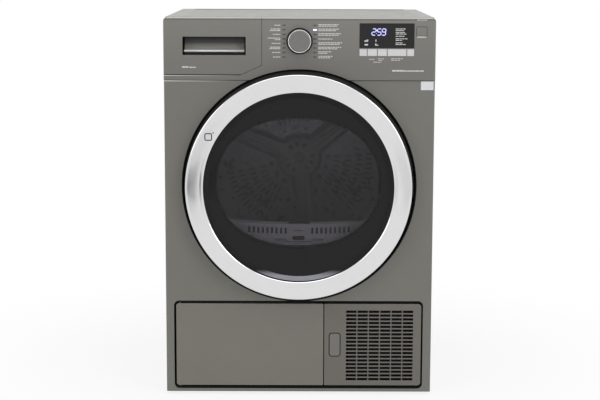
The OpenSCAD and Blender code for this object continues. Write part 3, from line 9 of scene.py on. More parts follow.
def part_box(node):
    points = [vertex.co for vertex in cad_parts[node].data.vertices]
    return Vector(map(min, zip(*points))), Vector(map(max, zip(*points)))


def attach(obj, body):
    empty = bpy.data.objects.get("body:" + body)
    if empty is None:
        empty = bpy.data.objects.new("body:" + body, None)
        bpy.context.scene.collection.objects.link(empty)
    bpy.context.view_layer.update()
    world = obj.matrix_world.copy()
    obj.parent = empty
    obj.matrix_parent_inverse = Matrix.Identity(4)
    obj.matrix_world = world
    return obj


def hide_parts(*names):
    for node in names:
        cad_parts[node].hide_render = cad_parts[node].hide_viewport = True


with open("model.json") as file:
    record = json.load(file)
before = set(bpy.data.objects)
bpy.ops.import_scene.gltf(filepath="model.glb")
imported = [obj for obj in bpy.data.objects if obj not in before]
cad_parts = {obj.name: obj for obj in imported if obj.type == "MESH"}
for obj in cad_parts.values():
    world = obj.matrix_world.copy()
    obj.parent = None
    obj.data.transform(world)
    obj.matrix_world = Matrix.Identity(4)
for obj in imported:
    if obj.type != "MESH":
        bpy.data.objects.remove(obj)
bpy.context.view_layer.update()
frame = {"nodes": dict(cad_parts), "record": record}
nodes = frame["nodes"]
print("frame loaded:", len(nodes), "nodes")

cameraFit = {
    "place": (-0.003, -3.6905, 0.975),  # metres, in the part's frame
    "pitchDown": 8.82,                  # degrees
    "yaw": 0.084,
    "roll": -0.179,
    "lens": 93.76,                      # mm on a 36 mm sensor
}


def addNodes(nt, *kinds):
    # one new shader node for each kind
    return [nt.nodes.new("ShaderNode" + kind) for kind in kinds]


def maths(nt, operation, *values):
    # one maths node of sockets and fixed numbers
    node, = addNodes(nt, "Math")
    node.operation = operation
    for n, value in enumerate(values):
        if isinstance(value, bpy.types.NodeSocket):
            nt.links.new(value, node.inputs[n])
        else:
            node.inputs[n].default_value = value
    return node.outputs[0]


def mixShaders(nt, factor, a, b):
    # shader a where the factor is 0, b where it is 1
    mix, = addNodes(nt, "MixShader")
    nt.links.new(factor, mix.inputs[0])
    nt.links.new(a, mix.inputs[1])
    nt.links.new(b, mix.inputs[2])
    return mix.outputs[0]


def position(nt):
    # the x, y and z sockets of the object coordinates
    coord, split = addNodes(nt, "TexCoord", "SeparateXYZ")
    nt.links.new(coord.outputs["Object"], split.inputs[0])
    return split.outputs


def spread(nt, value, low, high, fromLow=0.3, fromHigh=0.7, kind="LINEAR"):
    # value from fromLow..fromHigh to low..high
    node, = addNodes(nt, "MapRange")
    node.interpolation_type = kind
    for socket, v in (("From Min", fromLow), ("From Max", fromHigh), ("To Min", low), ("To Max", high)):
        node.inputs[socket].default_value = v
    nt.links.new(value, node.inputs["Value"])
    return node.outputs[0]


def glowing(nt, strength):
    # plain white light
    node, = addNodes(nt, "Emission")
    node.inputs["Color"].default_value = (1, 1, 1, 1)
    node.inputs["Strength"].default_value = strength
    return node.outputs[0]


def startMaterial(name, values):
    # a Principled material whose fixed values sit on the shader's own sockets
    mat = bpy.data.materials.new(name)
    mat.use_nodes = True
    shader = mat.node_tree.nodes["Principled BSDF"]
    for socket, value in values.items():
        shader.inputs[socket].default_value = value
    return mat, mat.node_tree, shader


def newObject(name, verts, faces, material):
    # a mesh in metres, as an object of the scene
    mesh = bpy.data.meshes.new(name)
    mesh.from_pydata(verts, [], faces)
    mesh.materials.append(material)
    obj = bpy.data.objects.new(name, mesh)
    bpy.context.scene.collection.objects.link(obj)
    return obj


def setCamera(p):
    # forward from yaw and pitch, right along the floor, then both turned by the roll
    yaw, pitch, roll = (math.radians(p[k]) for k in ("yaw", "pitchDown", "roll"))
    forward = Vector((math.sin(yaw) * math.cos(pitch), math.cos(yaw) * math.cos(pitch), -math.sin(pitch)))
    right = Vector((math.cos(yaw), -math.sin(yaw), 0))
    down = forward.cross(right)
    rightTurned = right * math.cos(roll) + down * math.sin(roll)
    downTurned = down * math.cos(roll) - right * math.sin(roll)
    data = bpy.data.cameras.new("camera")
    data.sensor_width, data.lens = 36, p["lens"]
    data.clip_start, data.clip_end = 0.1, 100
    cam = bpy.data.objects.new("camera", data)
    bpy.context.scene.collection.objects.link(cam)
    rot = Matrix((rightTurned, -downTurned, -forward)).transposed().to_4x4()
    cam.matrix_world = Matrix.Translation(p["place"]) @ rot
    bpy.context.scene.camera = cam


studio = {
    "skyStrength": 0.5,
    "lamps": [  # name, place, aimed at, size (m), power (W)
        ("overhead", (0.0, -0.9, 3.2), (0, 0.1, 0.4), (3.0, 2.4), 33),
        ("frontRight", (2.6, -3.4, 2.0), (0, -0.2, 0.45), (1.6, 2.0), 34),
        ("frontLeft", (-2.8, -3.2, 1.7), (0, -0.2, 0.45), (1.4, 1.8), 16),
    ],
    "floorRadius": 9.0,
    "floorSectors": 96,
    "floorGrey": 0.93,
    "fadeFrom": 0.3,    # metres from the middle where the floor starts to fade into the backdrop
    "fadeTo": 1.2,
    "fadeLeast": 0.85,  # share of the backdrop's white in the floor beside the object
    "cards": [  # grey cards on the floor that only mirrors see: x, y to x, y (m), brightness
        ((-2.6, -6.0, -0.41, -2.7), 0.88), ((0.43, -4.6, 1.9, -2.9), 0.86), ((-0.95, -4.1, -0.40, -3.15), 0.33),
    ],
    "cardHeight": (0.004, 0.002),  # the lowest card over the floor, and each next one over the last
}


def setStudio(p):
    # the sky lights the object evenly; seen directly, mirrored or through glass it is plain white
    world = bpy.data.worlds.new("studioSky")
    bpy.context.scene.world = world
    world.use_nodes = True
    nt = world.node_tree
    nt.nodes.clear()
    out, lit, seen = addNodes(nt, "OutputWorld", "Background", "Background")
    for sky, strength in ((lit, p["skyStrength"]), (seen, 1.0)):
        sky.inputs["Color"].default_value = (1, 1, 1, 1)
        sky.inputs["Strength"].default_value = strength
    nt.links.new(mixShaders(nt, seenRays(nt), lit.outputs[0], seen.outputs[0]), out.inputs[0])
    for name, place, aim, size, power in p["lamps"]:
        data = bpy.data.lights.new(name, "AREA")
        data.shape, data.size, data.size_y, data.energy = "RECTANGLE", size[0], size[1], power
        lamp = bpy.data.objects.new(name, data)
        bpy.context.scene.collection.objects.link(lamp)
        lamp.location = place
        lamp.rotation_euler = (Vector(aim) - Vector(place)).to_track_quat("-Z", "Y").to_euler()
    bpy.context.scene.view_settings.view_transform = "Standard"


def seenRays(nt):
    # 1 for camera, mirror and glass rays, 0 for the rays that carry light
    path, = addNodes(nt, "LightPath")
    camera, mirror, glass = (path.outputs[kind] for kind in ("Is Camera Ray", "Is Glossy Ray", "Is Transmission Ray"))
    return maths(nt, "MAXIMUM", maths(nt, "MAXIMUM", camera, mirror), glass)


def floorMaterial(p):
    # pale paint that fades to the backdrop's white with the distance from the middle
    mat, nt, shader = startMaterial("paleFloor", {
        "Base Color": (p["floorGrey"],) * 3 + (1,), "Roughness": 0.8, "Specular IOR Level": 0.1})
    coord, far = addNodes(nt, "TexCoord", "VectorMath")
    far.operation = "LENGTH"
    nt.links.new(coord.outputs["Object"], far.inputs[0])
    fade = spread(nt, far.outputs["Value"], p["fadeLeast"], 1.0, p["fadeFrom"], p["fadeTo"], "SMOOTHSTEP")
    faded = maths(nt, "MULTIPLY", fade, seenRays(nt))
    nt.links.new(mixShaders(nt, faded, shader.outputs[0], glowing(nt, 1.0)), nt.nodes["Material Output"].inputs[0])
    return mat


def layFloor(p):
    # a disc as a fan of sectors round its middle
    n = p["floorSectors"]
    a = np.linspace(0, 2 * math.pi, n, endpoint=False)
    verts = np.vstack(([[0, 0, 0]], np.stack((np.cos(a), np.sin(a), a * 0), 1) * p["floorRadius"]))
    i = np.arange(n)
    faces = np.stack((i * 0, i + 1, (i + 1) % n + 1), 1)
    floor = newObject("floor", verts.tolist(), faces.tolist(), floorMaterial(p))


def cardMaterial(grey):
    # clear to every ray but a mirrored one
    mat, nt, shader = startMaterial("greyCard", {})
    nt.nodes.remove(shader)
    path, clear = addNodes(nt, "LightPath", "BsdfTransparent")
    nt.links.new(mixShaders(nt, path.outputs["Is Glossy Ray"], clear.outputs[0], glowing(nt, grey)),
                 nt.nodes["Material Output"].inputs[0])
    return mat


def layCards(p):
    # even grey rectangles, so that the chrome has something to mirror
    lowest, step = p["cardHeight"]
    for n, ((x0, y0, x1, y1), grey) in enumerate(p["cards"]):
        z = lowest + step * n
        card = newObject("greyCard", [(x0, y0, z), (x1, y0, z), (x1, y1, z), (x0, y1, z)], [(0, 1, 2, 3)],
                         cardMaterial(grey))


setCamera(cameraFit)
setStudio(studio)
layFloor(studio)
layCards(studio)
print("camera, lamps and floor set")


def shade(r, g, b):
    # display values 0-255 to the linear colour that renders as them
    linear = (c / 12.92 if c <= 0.04045 else ((c + 0.055) / 1.055) ** 2.4 for c in (r / 255, g / 255, b / 255))
    return tuple(linear) + (1,)


def grain(nt, scale, detail=2.0, stretch=(1, 1, 1)):
    # noise 0-1 on object coordinates, scale in cells per metre, each axis stretched by its own factor
    coord, place, tex = addNodes(nt, "TexCoord", "Mapping", "TexNoise")
    place.inputs["Scale"].default_value = stretch
    tex.inputs["Scale"].default_value, tex.inputs["Detail"].default_value = scale, detail
    nt.links.new(coord.outputs["Object"], place.inputs["Vector"])
    nt.links.new(place.outputs[0], tex.inputs["Vector"])
    return tex.outputs["Fac"]


def blendColours(nt, factor, a, b):
    # a where factor is 0, b where it is 1; a or b may be a colour or a socket
    node, = addNodes(nt, "Mix")
    node.data_type = "RGBA"
    nt.links.new(factor, node.inputs[0])
    for socket, colour in ((node.inputs[6], a), (node.inputs[7], b)):
        if isinstance(colour, tuple):
            socket.default_value = colour
        else:
            nt.links.new(colour, socket)
    return node.outputs[2]


def scaled(colour, k):
    # a colour times k, at most white
    return tuple(min(c * k, 1) for c in colour[:3]) + (1,)


def softNormal(nt, radius):
    # the normal as if edges were rounded to that radius in metres
    soft, = addNodes(nt, "Bevel")
    soft.samples = 4
    soft.inputs["Radius"].default_value = radius
    return soft.outputs[0]


def relief(nt, shader, height, distance, strength=1.0, edge=0.0):
    # bump of that height in metres, over edges that shade as if rounded to the radius given by edge
    node, = addNodes(nt, "Bump")
    node.inputs["Distance"].default_value, node.inputs["Strength"].default_value = distance, strength
    nt.links.new(height, node.inputs["Height"])
    if edge:
        nt.links.new(softNormal(nt, edge), node.inputs["Normal"])
    nt.links.new(node.outputs[0], shader.inputs["Normal"])


def upturned(nt, radius):
    # 0 to 1 where an edge, shaded as if rounded, turns up towards the light: the mask of the painted edge highlight
    split, = addNodes(nt, "SeparateXYZ")
    nt.links.new(softNormal(nt, radius), split.inputs[0])
    return spread(nt, split.outputs[2], 0, 1, 0.4, 0.85)


def surface(name, colour, p, values):
    # colour varied by a fine grain and a slow mottle, with painted light where asked (brighter with the height, paler
    # on upturned edges), roughness by a slow noise, bump by a third noise
    mat, nt, shader = startMaterial(name, values)
    stretch = p.get("stretch", (1, 1, 1))
    fine = spread(nt, grain(nt, p["grain"], 1.0, stretch), 0, 1)
    base = blendColours(nt, fine, scaled(colour, 1 - p["vary"]), scaled(colour, 1 + p["vary"]))
    slow = spread(nt, grain(nt, p.get("mottle", 7), 3.0), 0, p.get("mottleBy", 0.5))
    base = blendColours(nt, slow, base, scaled(colour, p.get("mottleTo", 0.93)))
    if "lightByHeight" in p:  # painted light: a slow brightening with the height, as if the top caught more light: from z to z, times
        low, high, times = p["lightByHeight"]
        brighter, = addNodes(nt, "VectorMath")
        brighter.operation = "SCALE"
        nt.links.new(base, brighter.inputs[0])
        nt.links.new(spread(nt, position(nt)[2], 1.0, times, low, high), brighter.inputs["Scale"])
        base = brighter.outputs[0]
    # painted highlight: edges that turn up are paler, as if they caught the light from above
    if "edgeHighlight" in p:
        base = blendColours(nt, upturned(nt, p["edge"]), base, scaled(colour, p["edgeHighlight"]))
    nt.links.new(base, shader.inputs["Base Color"])
    nt.links.new(spread(nt, grain(nt, p.get("patch", 40), 2.0, stretch), *p["rough"]), shader.inputs["Roughness"])
    relief(nt, shader, grain(nt, p["bump"], 2.0, stretch), p["depth"], p.get("strength", 0.5), p.get("edge", 0))
    return mat


def axisSteps(nt, limits):
    # 1 inside the box of limits {axis: (low, high)} in metres, 0 outside it
    place, result = position(nt), None
    for axis, (low, high) in limits.items():
        for limit, test in ((low, "GREATER_THAN"), (high, "LESS_THAN")):
            if limit is not None:
                step = maths(nt, test, place[axis], limit)
                result = step if result is None else maths(nt, "MULTIPLY", result, step)
    return result


def opposite(nt, a):
    # 0 for 1 and 1 for 0
    return maths(nt, "SUBTRACT", 1.0, a)


def roundStep(nt, centre, radius):
    # 1 nearer than radius to a line along Y through (x, z)
    place = position(nt)
    join, far = addNodes(nt, "CombineXYZ", "VectorMath")
    for axis in (0, 2):
        nt.links.new(place[axis], join.inputs[axis])
    far.operation = "DISTANCE"
    far.inputs[1].default_value = (centre[0], 0, centre[1])
    nt.links.new(join.outputs[0], far.inputs[0])
    return maths(nt, "LESS_THAN", far.outputs["Value"], radius)


def outsideStep(nt, low, high, radius, grow):
    # 1 outside a rectangle in x and z with round corners, grown by the given amount, 0 inside it:
    # the length of (max(|x - middle| - half + radius, 0), the same in z) is more than radius + grow
    place = position(nt)
    join, far = addNodes(nt, "CombineXYZ", "VectorMath")
    for n, axis in enumerate((0, 2)):
        away = maths(nt, "ABSOLUTE", maths(nt, "SUBTRACT", place[axis], (low[n] + high[n]) / 2))
        over = maths(nt, "SUBTRACT", away, (high[n] - low[n]) / 2 - radius)
        nt.links.new(maths(nt, "MAXIMUM", over, 0.0), join.inputs[axis])
    far.operation = "LENGTH"
    nt.links.new(join.outputs[0], far.inputs[0])
    return maths(nt, "GREATER_THAN", far.outputs["Value"], radius + grow)


def copied(mat, name):
    # a material of its own that starts as another one
    mat = mat.copy()
    mat.name = name
    return mat


def repainted(mat, where, tone):
    # another tone takes over where the factor is 1
    nt = mat.node_tree
    base = nt.nodes["Principled BSDF"].inputs["Base Color"]
    nt.links.new(blendColours(nt, where, base.links[0].from_socket, tone), base)
    return mat


def blackened(mat, where):
    # a matt black takes over where the factor is 1
    nt = mat.node_tree
    out = nt.nodes["Material Output"]
    dark, = addNodes(nt, "BsdfPrincipled")
    dark.inputs["Specular IOR Level"].default_value = 0.05
    nt.links.new(blendColours(nt, grain(nt, 900), (0.007, 0.007, 0.007, 1), (0.013, 0.013, 0.013, 1)),
                 dark.inputs["Base Color"])
    nt.links.new(spread(nt, grain(nt, 200), 0.65, 0.8), dark.inputs["Roughness"])
    nt.links.new(mixShaders(nt, where, out.inputs[0].links[0].from_socket, dark.outputs[0]), out.inputs[0])
    return mat


colours = {
    "steelFront": shade(117, 116, 110),
    "plasticFront": shade(118, 116, 111),
    "flap": shade(121, 118, 111),
    "grille": shade(110, 107, 100),
    "board": shade(135, 135, 131),
    "knob": shade(120, 119, 115),
    "key": shade(212, 212, 213),
    "ink": shade(216, 216, 213),
    "zinc": shade(158, 161, 163),
}

# paintedSteel, mouldedGrey and flapGrey carry a painted highlight on their upturned edges
paintedSteel = surface("paintedSteel", colours["steelFront"], {
    "grain": 2400, "vary": 0.05, "mottle": 6, "mottleBy": 0.6, "mottleTo": 0.95, "rough": (0.4, 0.5),
    "bump": 230, "depth": 0.00012, "strength": 0.35, "edge": 0.0015, "edgeHighlight": 1.9},
    {"Metallic": 0.3, "Coat Weight": 0.1, "Coat Roughness": 0.3})
# mouldedGrey has painted light: it grows brighter towards the top
mouldedGrey = surface("mouldedGrey", colours["plasticFront"], {
    "grain": 3000, "vary": 0.04, "mottle": 9, "mottleBy": 0.5, "mottleTo": 0.95, "rough": (0.42, 0.5),
    "bump": 1500, "depth": 0.00005, "strength": 0.5, "edge": 0.0007, "edgeHighlight": 1.6, "lightByHeight": (0.745, 0.85, 1.2)},
    {"Metallic": 0.25})
flapGrey = surface("flapGrey", colours["flap"], {
    "grain": 3000, "vary": 0.04, "mottle": 14, "mottleBy": 0.7, "mottleTo": 0.95, "rough": (0.42, 0.5),
    "bump": 1500, "depth": 0.00005, "strength": 0.5, "edge": 0.0012, "edgeHighlight": 1.6}, {"Metallic": 0.25})
grilleGrey = surface("grilleGrey", colours["grille"], {
    "grain": 3000, "vary": 0.04, "mottle": 10, "mottleBy": 0.7, "mottleTo": 0.94, "rough": (0.42, 0.5),
    "bump": 1500, "depth": 0.00005, "strength": 0.5, "edge": 0.0009}, {"Metallic": 0.25})
topLacquer = surface("topLacquer", colours["board"], {
    "grain": 1700, "vary": 0.03, "mottle": 5, "mottleTo": 0.96, "rough": (0.34, 0.44),
    "bump": 420, "depth": 0.00006, "edge": 0.0012}, {"Specular IOR Level": 0.5})
chromePlating = surface("chromePlating", (0.72, 0.72, 0.725, 1), {
    "grain": 60, "vary": 0.01, "mottle": 12, "mottleBy": 0.3, "mottleTo": 0.95, "rough": (0.05, 0.1), "patch": 22,
    "bump": 7, "depth": 0.0012, "strength": 0.4}, {"Metallic": 1.0})
blackGloss = surface("blackGloss", (0.012, 0.012, 0.013, 1), {
    "grain": 900, "vary": 0.2, "mottleTo": 1.6, "rough": (0.16, 0.26), "bump": 300, "depth": 0.00003},
    {"Specular IOR Level": 0.3})
displayBlack = surface("displayBlack", (0.011, 0.011, 0.0125, 1), {
    "grain": 700, "vary": 0.12, "mottleTo": 1.3, "rough": (0.12, 0.2), "bump": 200, "depth": 0.00001},
    {"Specular IOR Level": 0.29})
darkMould = surface("darkMould", (0.022, 0.022, 0.023, 1), {
    "grain": 1600, "vary": 0.2, "mottleTo": 1.4, "rough": (0.5, 0.62), "bump": 1100, "depth": 0.0001},
    {"Specular IOR Level": 0.4})
greyMould = surface("greyMould", (0.66, 0.645, 0.705, 1), {
    "grain": 1600, "vary": 0.05, "mottleTo": 0.92, "rough": (0.42, 0.54), "bump": 1100, "depth": 0.0001}, {})
brushedSteel = surface("brushedSteel", (0.66, 0.67, 0.68, 1), {
    "grain": 90, "vary": 0.08, "mottleTo": 0.9, "rough": (0.24, 0.4), "patch": 60, "stretch": (1, 14, 1),
    "bump": 120, "depth": 0.00008}, {"Metallic": 0.45})
plainSteel = surface("plainSteel", (0.42, 0.42, 0.44, 1), {
    "grain": 400, "vary": 0.1, "mottleTo": 0.8, "rough": (0.3, 0.45), "bump": 300, "depth": 0.00006},
    {"Metallic": 1.0})
castAlloy = surface("castAlloy", (0.4, 0.41, 0.42, 1), {
    "grain": 700, "vary": 0.12, "mottleTo": 0.85, "rough": (0.45, 0.6), "bump": 500, "depth": 0.0004},
    {"Metallic": 0.8})
finStock = surface("finStock", (0.62, 0.63, 0.64, 1), {
    "grain": 300, "vary": 0.1, "mottleTo": 0.85, "rough": (0.3, 0.5), "stretch": (1, 1, 0.05),
    "bump": 600, "depth": 0.0001}, {"Metallic": 0.9})
blackRubber = surface("blackRubber", (0.018, 0.018, 0.018, 1), {
    "grain": 900, "vary": 0.25, "mottleTo": 1.7, "rough": (0.6, 0.78), "bump": 800, "depth": 0.0002},
    {"Specular IOR Level": 0.3})
feltCloth = surface("feltCloth", (0.5, 0.49, 0.46, 1), {
    "grain": 2200, "vary": 0.2, "mottleTo": 0.85, "rough": (0.85, 0.95), "bump": 1600, "depth": 0.0006},
    {"Sheen Weight": 0.4, "Specular IOR Level": 0.1})
starSteel = surface("starSteel", (0.8, 0.8, 0.8, 1), {
    "grain": 300, "vary": 0.06, "mottleTo": 0.9, "rough": (0.35, 0.5), "patch": 60,
    "bump": 200, "depth": 0.00008}, {"Metallic": 0.3})
paperWhite = surface("paperWhite", shade(226, 226, 230), {
    "grain": 2500, "vary": 0.03, "mottle": 120, "mottleTo": 0.93, "rough": (0.4, 0.5),
    "bump": 900, "depth": 0.00003}, {})
boltSteel = surface("boltSteel", (0.3, 0.3, 0.31, 1), {
    "grain": 500, "vary": 0.1, "mottleTo": 0.85, "rough": (0.3, 0.42), "bump": 300, "depth": 0.00006},
    {"Metallic": 0.8})
satinKnob = surface("satinKnob", colours["knob"], {
    "grain": 2600, "vary": 0.04, "mottleTo": 0.96, "rough": (0.34, 0.42), "bump": 1300, "depth": 0.00004},
    {"Metallic": 0.3})
silverKey = surface("silverKey", colours["key"], {
    "grain": 2600, "vary": 0.03, "mottleTo": 0.96, "rough": (0.3, 0.4), "bump": 1300, "depth": 0.00003},
    {"Metallic": 0.15})
printedInk = surface("printedInk", colours["ink"], {
    "grain": 4000, "vary": 0.12, "mottle": 300, "mottleTo": 0.8, "rough": (0.5, 0.6), "bump": 2000, "depth": 0.00002},
    {"Specular IOR Level": 0.3})
darkInk = surface("darkInk", (0.02, 0.02, 0.02, 1), {
    "grain": 4000, "vary": 0.2, "mottleTo": 1.5, "rough": (0.4, 0.5), "bump": 2000, "depth": 0.00002}, {})
ledOff = surface("ledOff", (0.05, 0.05, 0.05, 1), {
    "grain": 3000, "vary": 0.15, "mottleTo": 1.3, "rough": (0.3, 0.4), "bump": 900, "depth": 0.00003}, {})


def zincCoat():
    # spangle: cells about 15 mm across, each its own grey, with a fine grain over them
    mat, nt, shader = startMaterial("zincCoat", {"Metallic": 0.55})
    coord, cells, split = addNodes(nt, "TexCoord", "TexVoronoi", "SeparateColor")
    cells.inputs["Scale"].default_value = 65
    nt.links.new(coord.outputs["Object"], cells.inputs["Vector"])
    nt.links.new(cells.outputs["Color"], split.inputs[0])
    tone = blendColours(nt, split.outputs[0], scaled(colours["zinc"], 0.86), scaled(colours["zinc"], 1.1))
    fine = spread(nt, grain(nt, 1500, 1), 0, 0.25)
    nt.links.new(blendColours(nt, fine, tone, scaled(colours["zinc"], 0.75)), shader.inputs["Base Color"])
    nt.links.new(spread(nt, split.outputs[1], 0.36, 0.52, 0, 1), shader.inputs["Roughness"])
    relief(nt, shader, grain(nt, 800, 1), 0.00004)
    return mat


def circuitBoard():
    # green lacquer with straight lighter tracks on a 2.5 mm grid
    mat, nt, shader = startMaterial("circuitBoard", {})
    coord, turn, brick = addNodes(nt, "TexCoord", "Mapping", "TexBrick")
    turn.inputs["Rotation"].default_value = (math.pi / 2, 0, 0)
    for socket, v in (("Scale", 130), ("Mortar Size", 0.06), ("Brick Width", 1.4), ("Row Height", 0.33),
                      ("Color1", (0.01, 0.09, 0.04, 1)), ("Color2", (0.012, 0.11, 0.05, 1)),
                      ("Mortar", (0.03, 0.2, 0.09, 1))):
        brick.inputs[socket].default_value = v
    nt.links.new(coord.outputs["Object"], turn.inputs["Vector"])
    nt.links.new(turn.outputs[0], brick.inputs["Vector"])
    nt.links.new(brick.outputs["Color"], shader.inputs["Base Color"])
    nt.links.new(spread(nt, grain(nt, 300), 0.3, 0.45), shader.inputs["Roughness"])
    relief(nt, shader, brick.outputs["Fac"], 0.0001)
    return mat


def lampMaterial(name, colour, strength):
    # a lit plastic: its own colour, glowing evenly with a slight cloud
    mat, nt, shader = startMaterial(name, {"Emission Strength": strength, "Roughness": 0.4})
    tone = blendColours(nt, spread(nt, grain(nt, 500), 0, 1), colour, scaled(colour, 0.85))
    nt.links.new(tone, shader.inputs["Base Color"])
    nt.links.new(tone, shader.inputs["Emission Color"])
    return mat


def glassMix(nt, tint, ior, roughness):
    # light passes with the tint, and the share that Fresnel gives is mirrored
    clear, gloss, share = addNodes(nt, "BsdfTransparent", "BsdfGlossy", "Fresnel")
    clear.inputs["Color"].default_value = tint
    gloss.inputs["Color"].default_value = (1, 1, 1, 1)
    share.inputs["IOR"].default_value = ior
    nt.links.new(spread(nt, grain(nt, 30), *roughness), gloss.inputs["Roughness"])
    return mixShaders(nt, share.outputs[0], clear.outputs[0], gloss.outputs[0])


def openToLight(nt, shader):
    # shadow rays pass nearly freely, so that the lamps reach what lies behind the glass
    path, free = addNodes(nt, "LightPath", "BsdfTransparent")
    free.inputs["Color"].default_value = (0.92, 0.92, 0.92, 1)
    return mixShaders(nt, path.outputs["Is Shadow Ray"], shader, free.outputs[0])


def clearPane(name, tint, ior):
    mat, nt, shader = startMaterial(name, {})
    nt.nodes.remove(shader)
    nt.links.new(openToLight(nt, glassMix(nt, tint, ior, (0.02, 0.05))), nt.nodes["Material Output"].inputs[0])
    return mat


windowShape = {
    "centre": (-0.003, 0.486),   # metres: the see-through oval of the pane
    "half": (0.183, 0.146),
    "power": 2.2,
    "edge": (0.90, 1.03),        # from fully clear to fully black
    "tint": (0.635, 0.63, 0.64, 1), "ior": 1.25,
}


def smokedPaneMaterial(p):
    # (|x|/a)^n + (|z|/b)^n < 1 is see-through, the rest is gloss black, with a soft edge between them
    mat, nt, shader = startMaterial("smokedPane", {"Roughness": 0.08, "Specular IOR Level": 0.24})
    nt.links.new(blendColours(nt, spread(nt, grain(nt, 500), 0, 1), (0.004, 0.004, 0.0045, 1),
                              (0.007, 0.007, 0.0075, 1)), shader.inputs["Base Color"])
    place, parts = position(nt), []
    for axis, centre, half in zip((0, 2), p["centre"], p["half"]):
        away = maths(nt, "ABSOLUTE", maths(nt, "SUBTRACT", place[axis], centre))
        parts.append(maths(nt, "POWER", maths(nt, "DIVIDE", away, half), p["power"]))
    edge = spread(nt, maths(nt, "ADD", *parts), 0, 1, *p["edge"], "SMOOTHSTEP")
    window = openToLight(nt, glassMix(nt, p["tint"], p["ior"], (0.01, 0.04)))
    nt.links.new(mixShaders(nt, edge, window, shader.outputs[0]), nt.nodes["Material Output"].inputs[0])
    return mat


def milkyTankMaterial():
    # milky plastic: mostly a pale diffuse, a fifth of the light passes straight through
    mat, nt, shader = startMaterial("milkyTank", {"Roughness": 0.4})
    nt.links.new(blendColours(nt, spread(nt, grain(nt, 40, 3), 0, 1), (0.72, 0.73, 0.74, 1), (0.66, 0.68, 0.7, 1)),
                 shader.inputs["Base Color"])
    relief(nt, shader, grain(nt, 900), 0.00005)
    clear, mix = addNodes(nt, "BsdfTransparent", "MixShader")
    mix.inputs[0].default_value = 0.2
    nt.links.new(shader.outputs[0], mix.inputs[1])
    nt.links.new(clear.outputs[0], mix.inputs[2])
    nt.links.new(mix.outputs[0], nt.nodes["Material Output"].inputs[0])
    return mat


zinc = zincCoat()
board = circuitBoard()
smokedPane = smokedPaneMaterial(windowShape)
clearGlass = clearPane("clearGlass", (0.93, 0.925, 0.93, 1), 1.42)
milkyTank = milkyTankMaterial()
digitGlow = lampMaterial("digitGlow", (0.50, 0.50, 1.0, 1), 1.15)
pilotGlow = lampMaterial("pilotGlow", (0.74, 0.68, 1.0, 1), 1.2)

finishes = {  # one material for each finish slot of the record
    "panel_steel": paintedSteel, "top_board": topLacquer, "panel_plastic": mouldedGrey, "galvanised": zinc,
    "black_plastic": blackGloss, "dark_plastic": darkMould, "grey_plastic": greyMould, "white_plastic": milkyTank,
    "trim_chrome": chromePlating, "smoked_glass": smokedPane, "clear_glass": clearGlass, "drum_steel": brushedSteel,
    "spring_steel": plainSteel, "cast_alloy": castAlloy, "fins": finStock, "black_rubber": blackRubber,
    "felt": feltCloth, "circuit": board, "knob_grey": satinKnob, "key_silver": silverKey,
}

flapBox, ventBox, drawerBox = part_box("service_flap"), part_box("vent_grille"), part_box("tank_front")
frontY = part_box("front_panel")[0][1]

seams = {  # fine lines along the edges of the front's covers, metres: painted highlights, painted shade under the fascia's top edge, and dark joints
    "panel": (0.7064, 0.7084, (-0.295, -0.14)),  # painted highlight: z from and to, x where the fade starts and ends
    "fascia": (0.7186, 0.7199, (-0.295, -0.12)),
    "bright": shade(226, 224, 218), "deep": 0.001,  # tone of the painted highlights, and how far behind the front they reach
    "lip": [(0.8444, None, shade(196, 194, 189)), (0.8402, 0.8436, shade(104, 103, 99))],  # z from and to, tone: painted highlight on the fascia's top edge, painted shade on the bend under it
    "fasciaJoint": 0.7097, "drawerJoint": drawerBox[0][2] + 0.0013,  # black below
}


def seamHighlight(mat, low, high, fade):
    # painted highlight: a fine bright line along a folded edge, as if it caught the light, strongest at the left and
    # gone at the end of the fade
    nt = mat.node_tree
    along = spread(nt, position(nt)[0], 1, 0, *fade)
    where = maths(nt, "MULTIPLY", along, axisSteps(nt, {1: (None, frontY + seams["deep"]), 2: (low, high)}))
    return repainted(mat, where, seams["bright"])


def topLip(mat):
    # painted highlight on the folded upper edge of the fascia, as if it caught the light, and painted shade on the
    # bend under it
    for low, high, tone in seams["lip"]:
        mat = repainted(mat, axisSteps(mat.node_tree, {2: (low, high)}), tone)
    return mat


def jointLine(mat, below):
    # the lowest edge of a cover is in the shade of its joint
    return blackened(mat, axisSteps(mat.node_tree, {2: (None, below)}))


# painted shade: the dish round the door, the folds of the kick opening and the edges in its gap are painted black
# where shade falls
black = {
    "dish": (0.0, 0.4746, 0.2598),   # x, z and radius of the dish behind the door ring, painted black as shade
    "kick": ((flapBox[0][0], flapBox[0][2]), (ventBox[1][0], ventBox[1][2])), "round": 0.0078,
    "opening": 0.0034, "edge": 0.0004,  # how far the folds painted black as shade reach beyond the flap, and onto its front
    "fold": 0.005, "inset": 0.0012,     # how wide the folds are, and the flap's narrow black edges
    "behind": {"panel": 0.0003, "flap": 0.0006, "grille": 0.0007},  # painted shade starts this far behind the front
}


def panelMaterial(p):
    # painted shade: the paint stops at the dish round the door and at the folded edges of the kick opening, which are
    # painted black where shade falls
    mat = seamHighlight(copied(paintedSteel, "paintedFront"), *seams["panel"])
    nt = mat.node_tree
    inside = opposite(nt, outsideStep(nt, *p["kick"], p["round"], p["opening"]))
    folds = axisSteps(nt, {0: (flapBox[0][0] - p["fold"], ventBox[1][0] + p["fold"]),
                           1: (frontY + p["behind"]["panel"], None),
                           2: (flapBox[0][2] - p["fold"], flapBox[1][2] + p["fold"])})
    x, z, radius = p["dish"]
    return blackened(mat, maths(nt, "MAXIMUM", maths(nt, "MAXIMUM", inside, folds), roundStep(nt, (x, z), radius)))


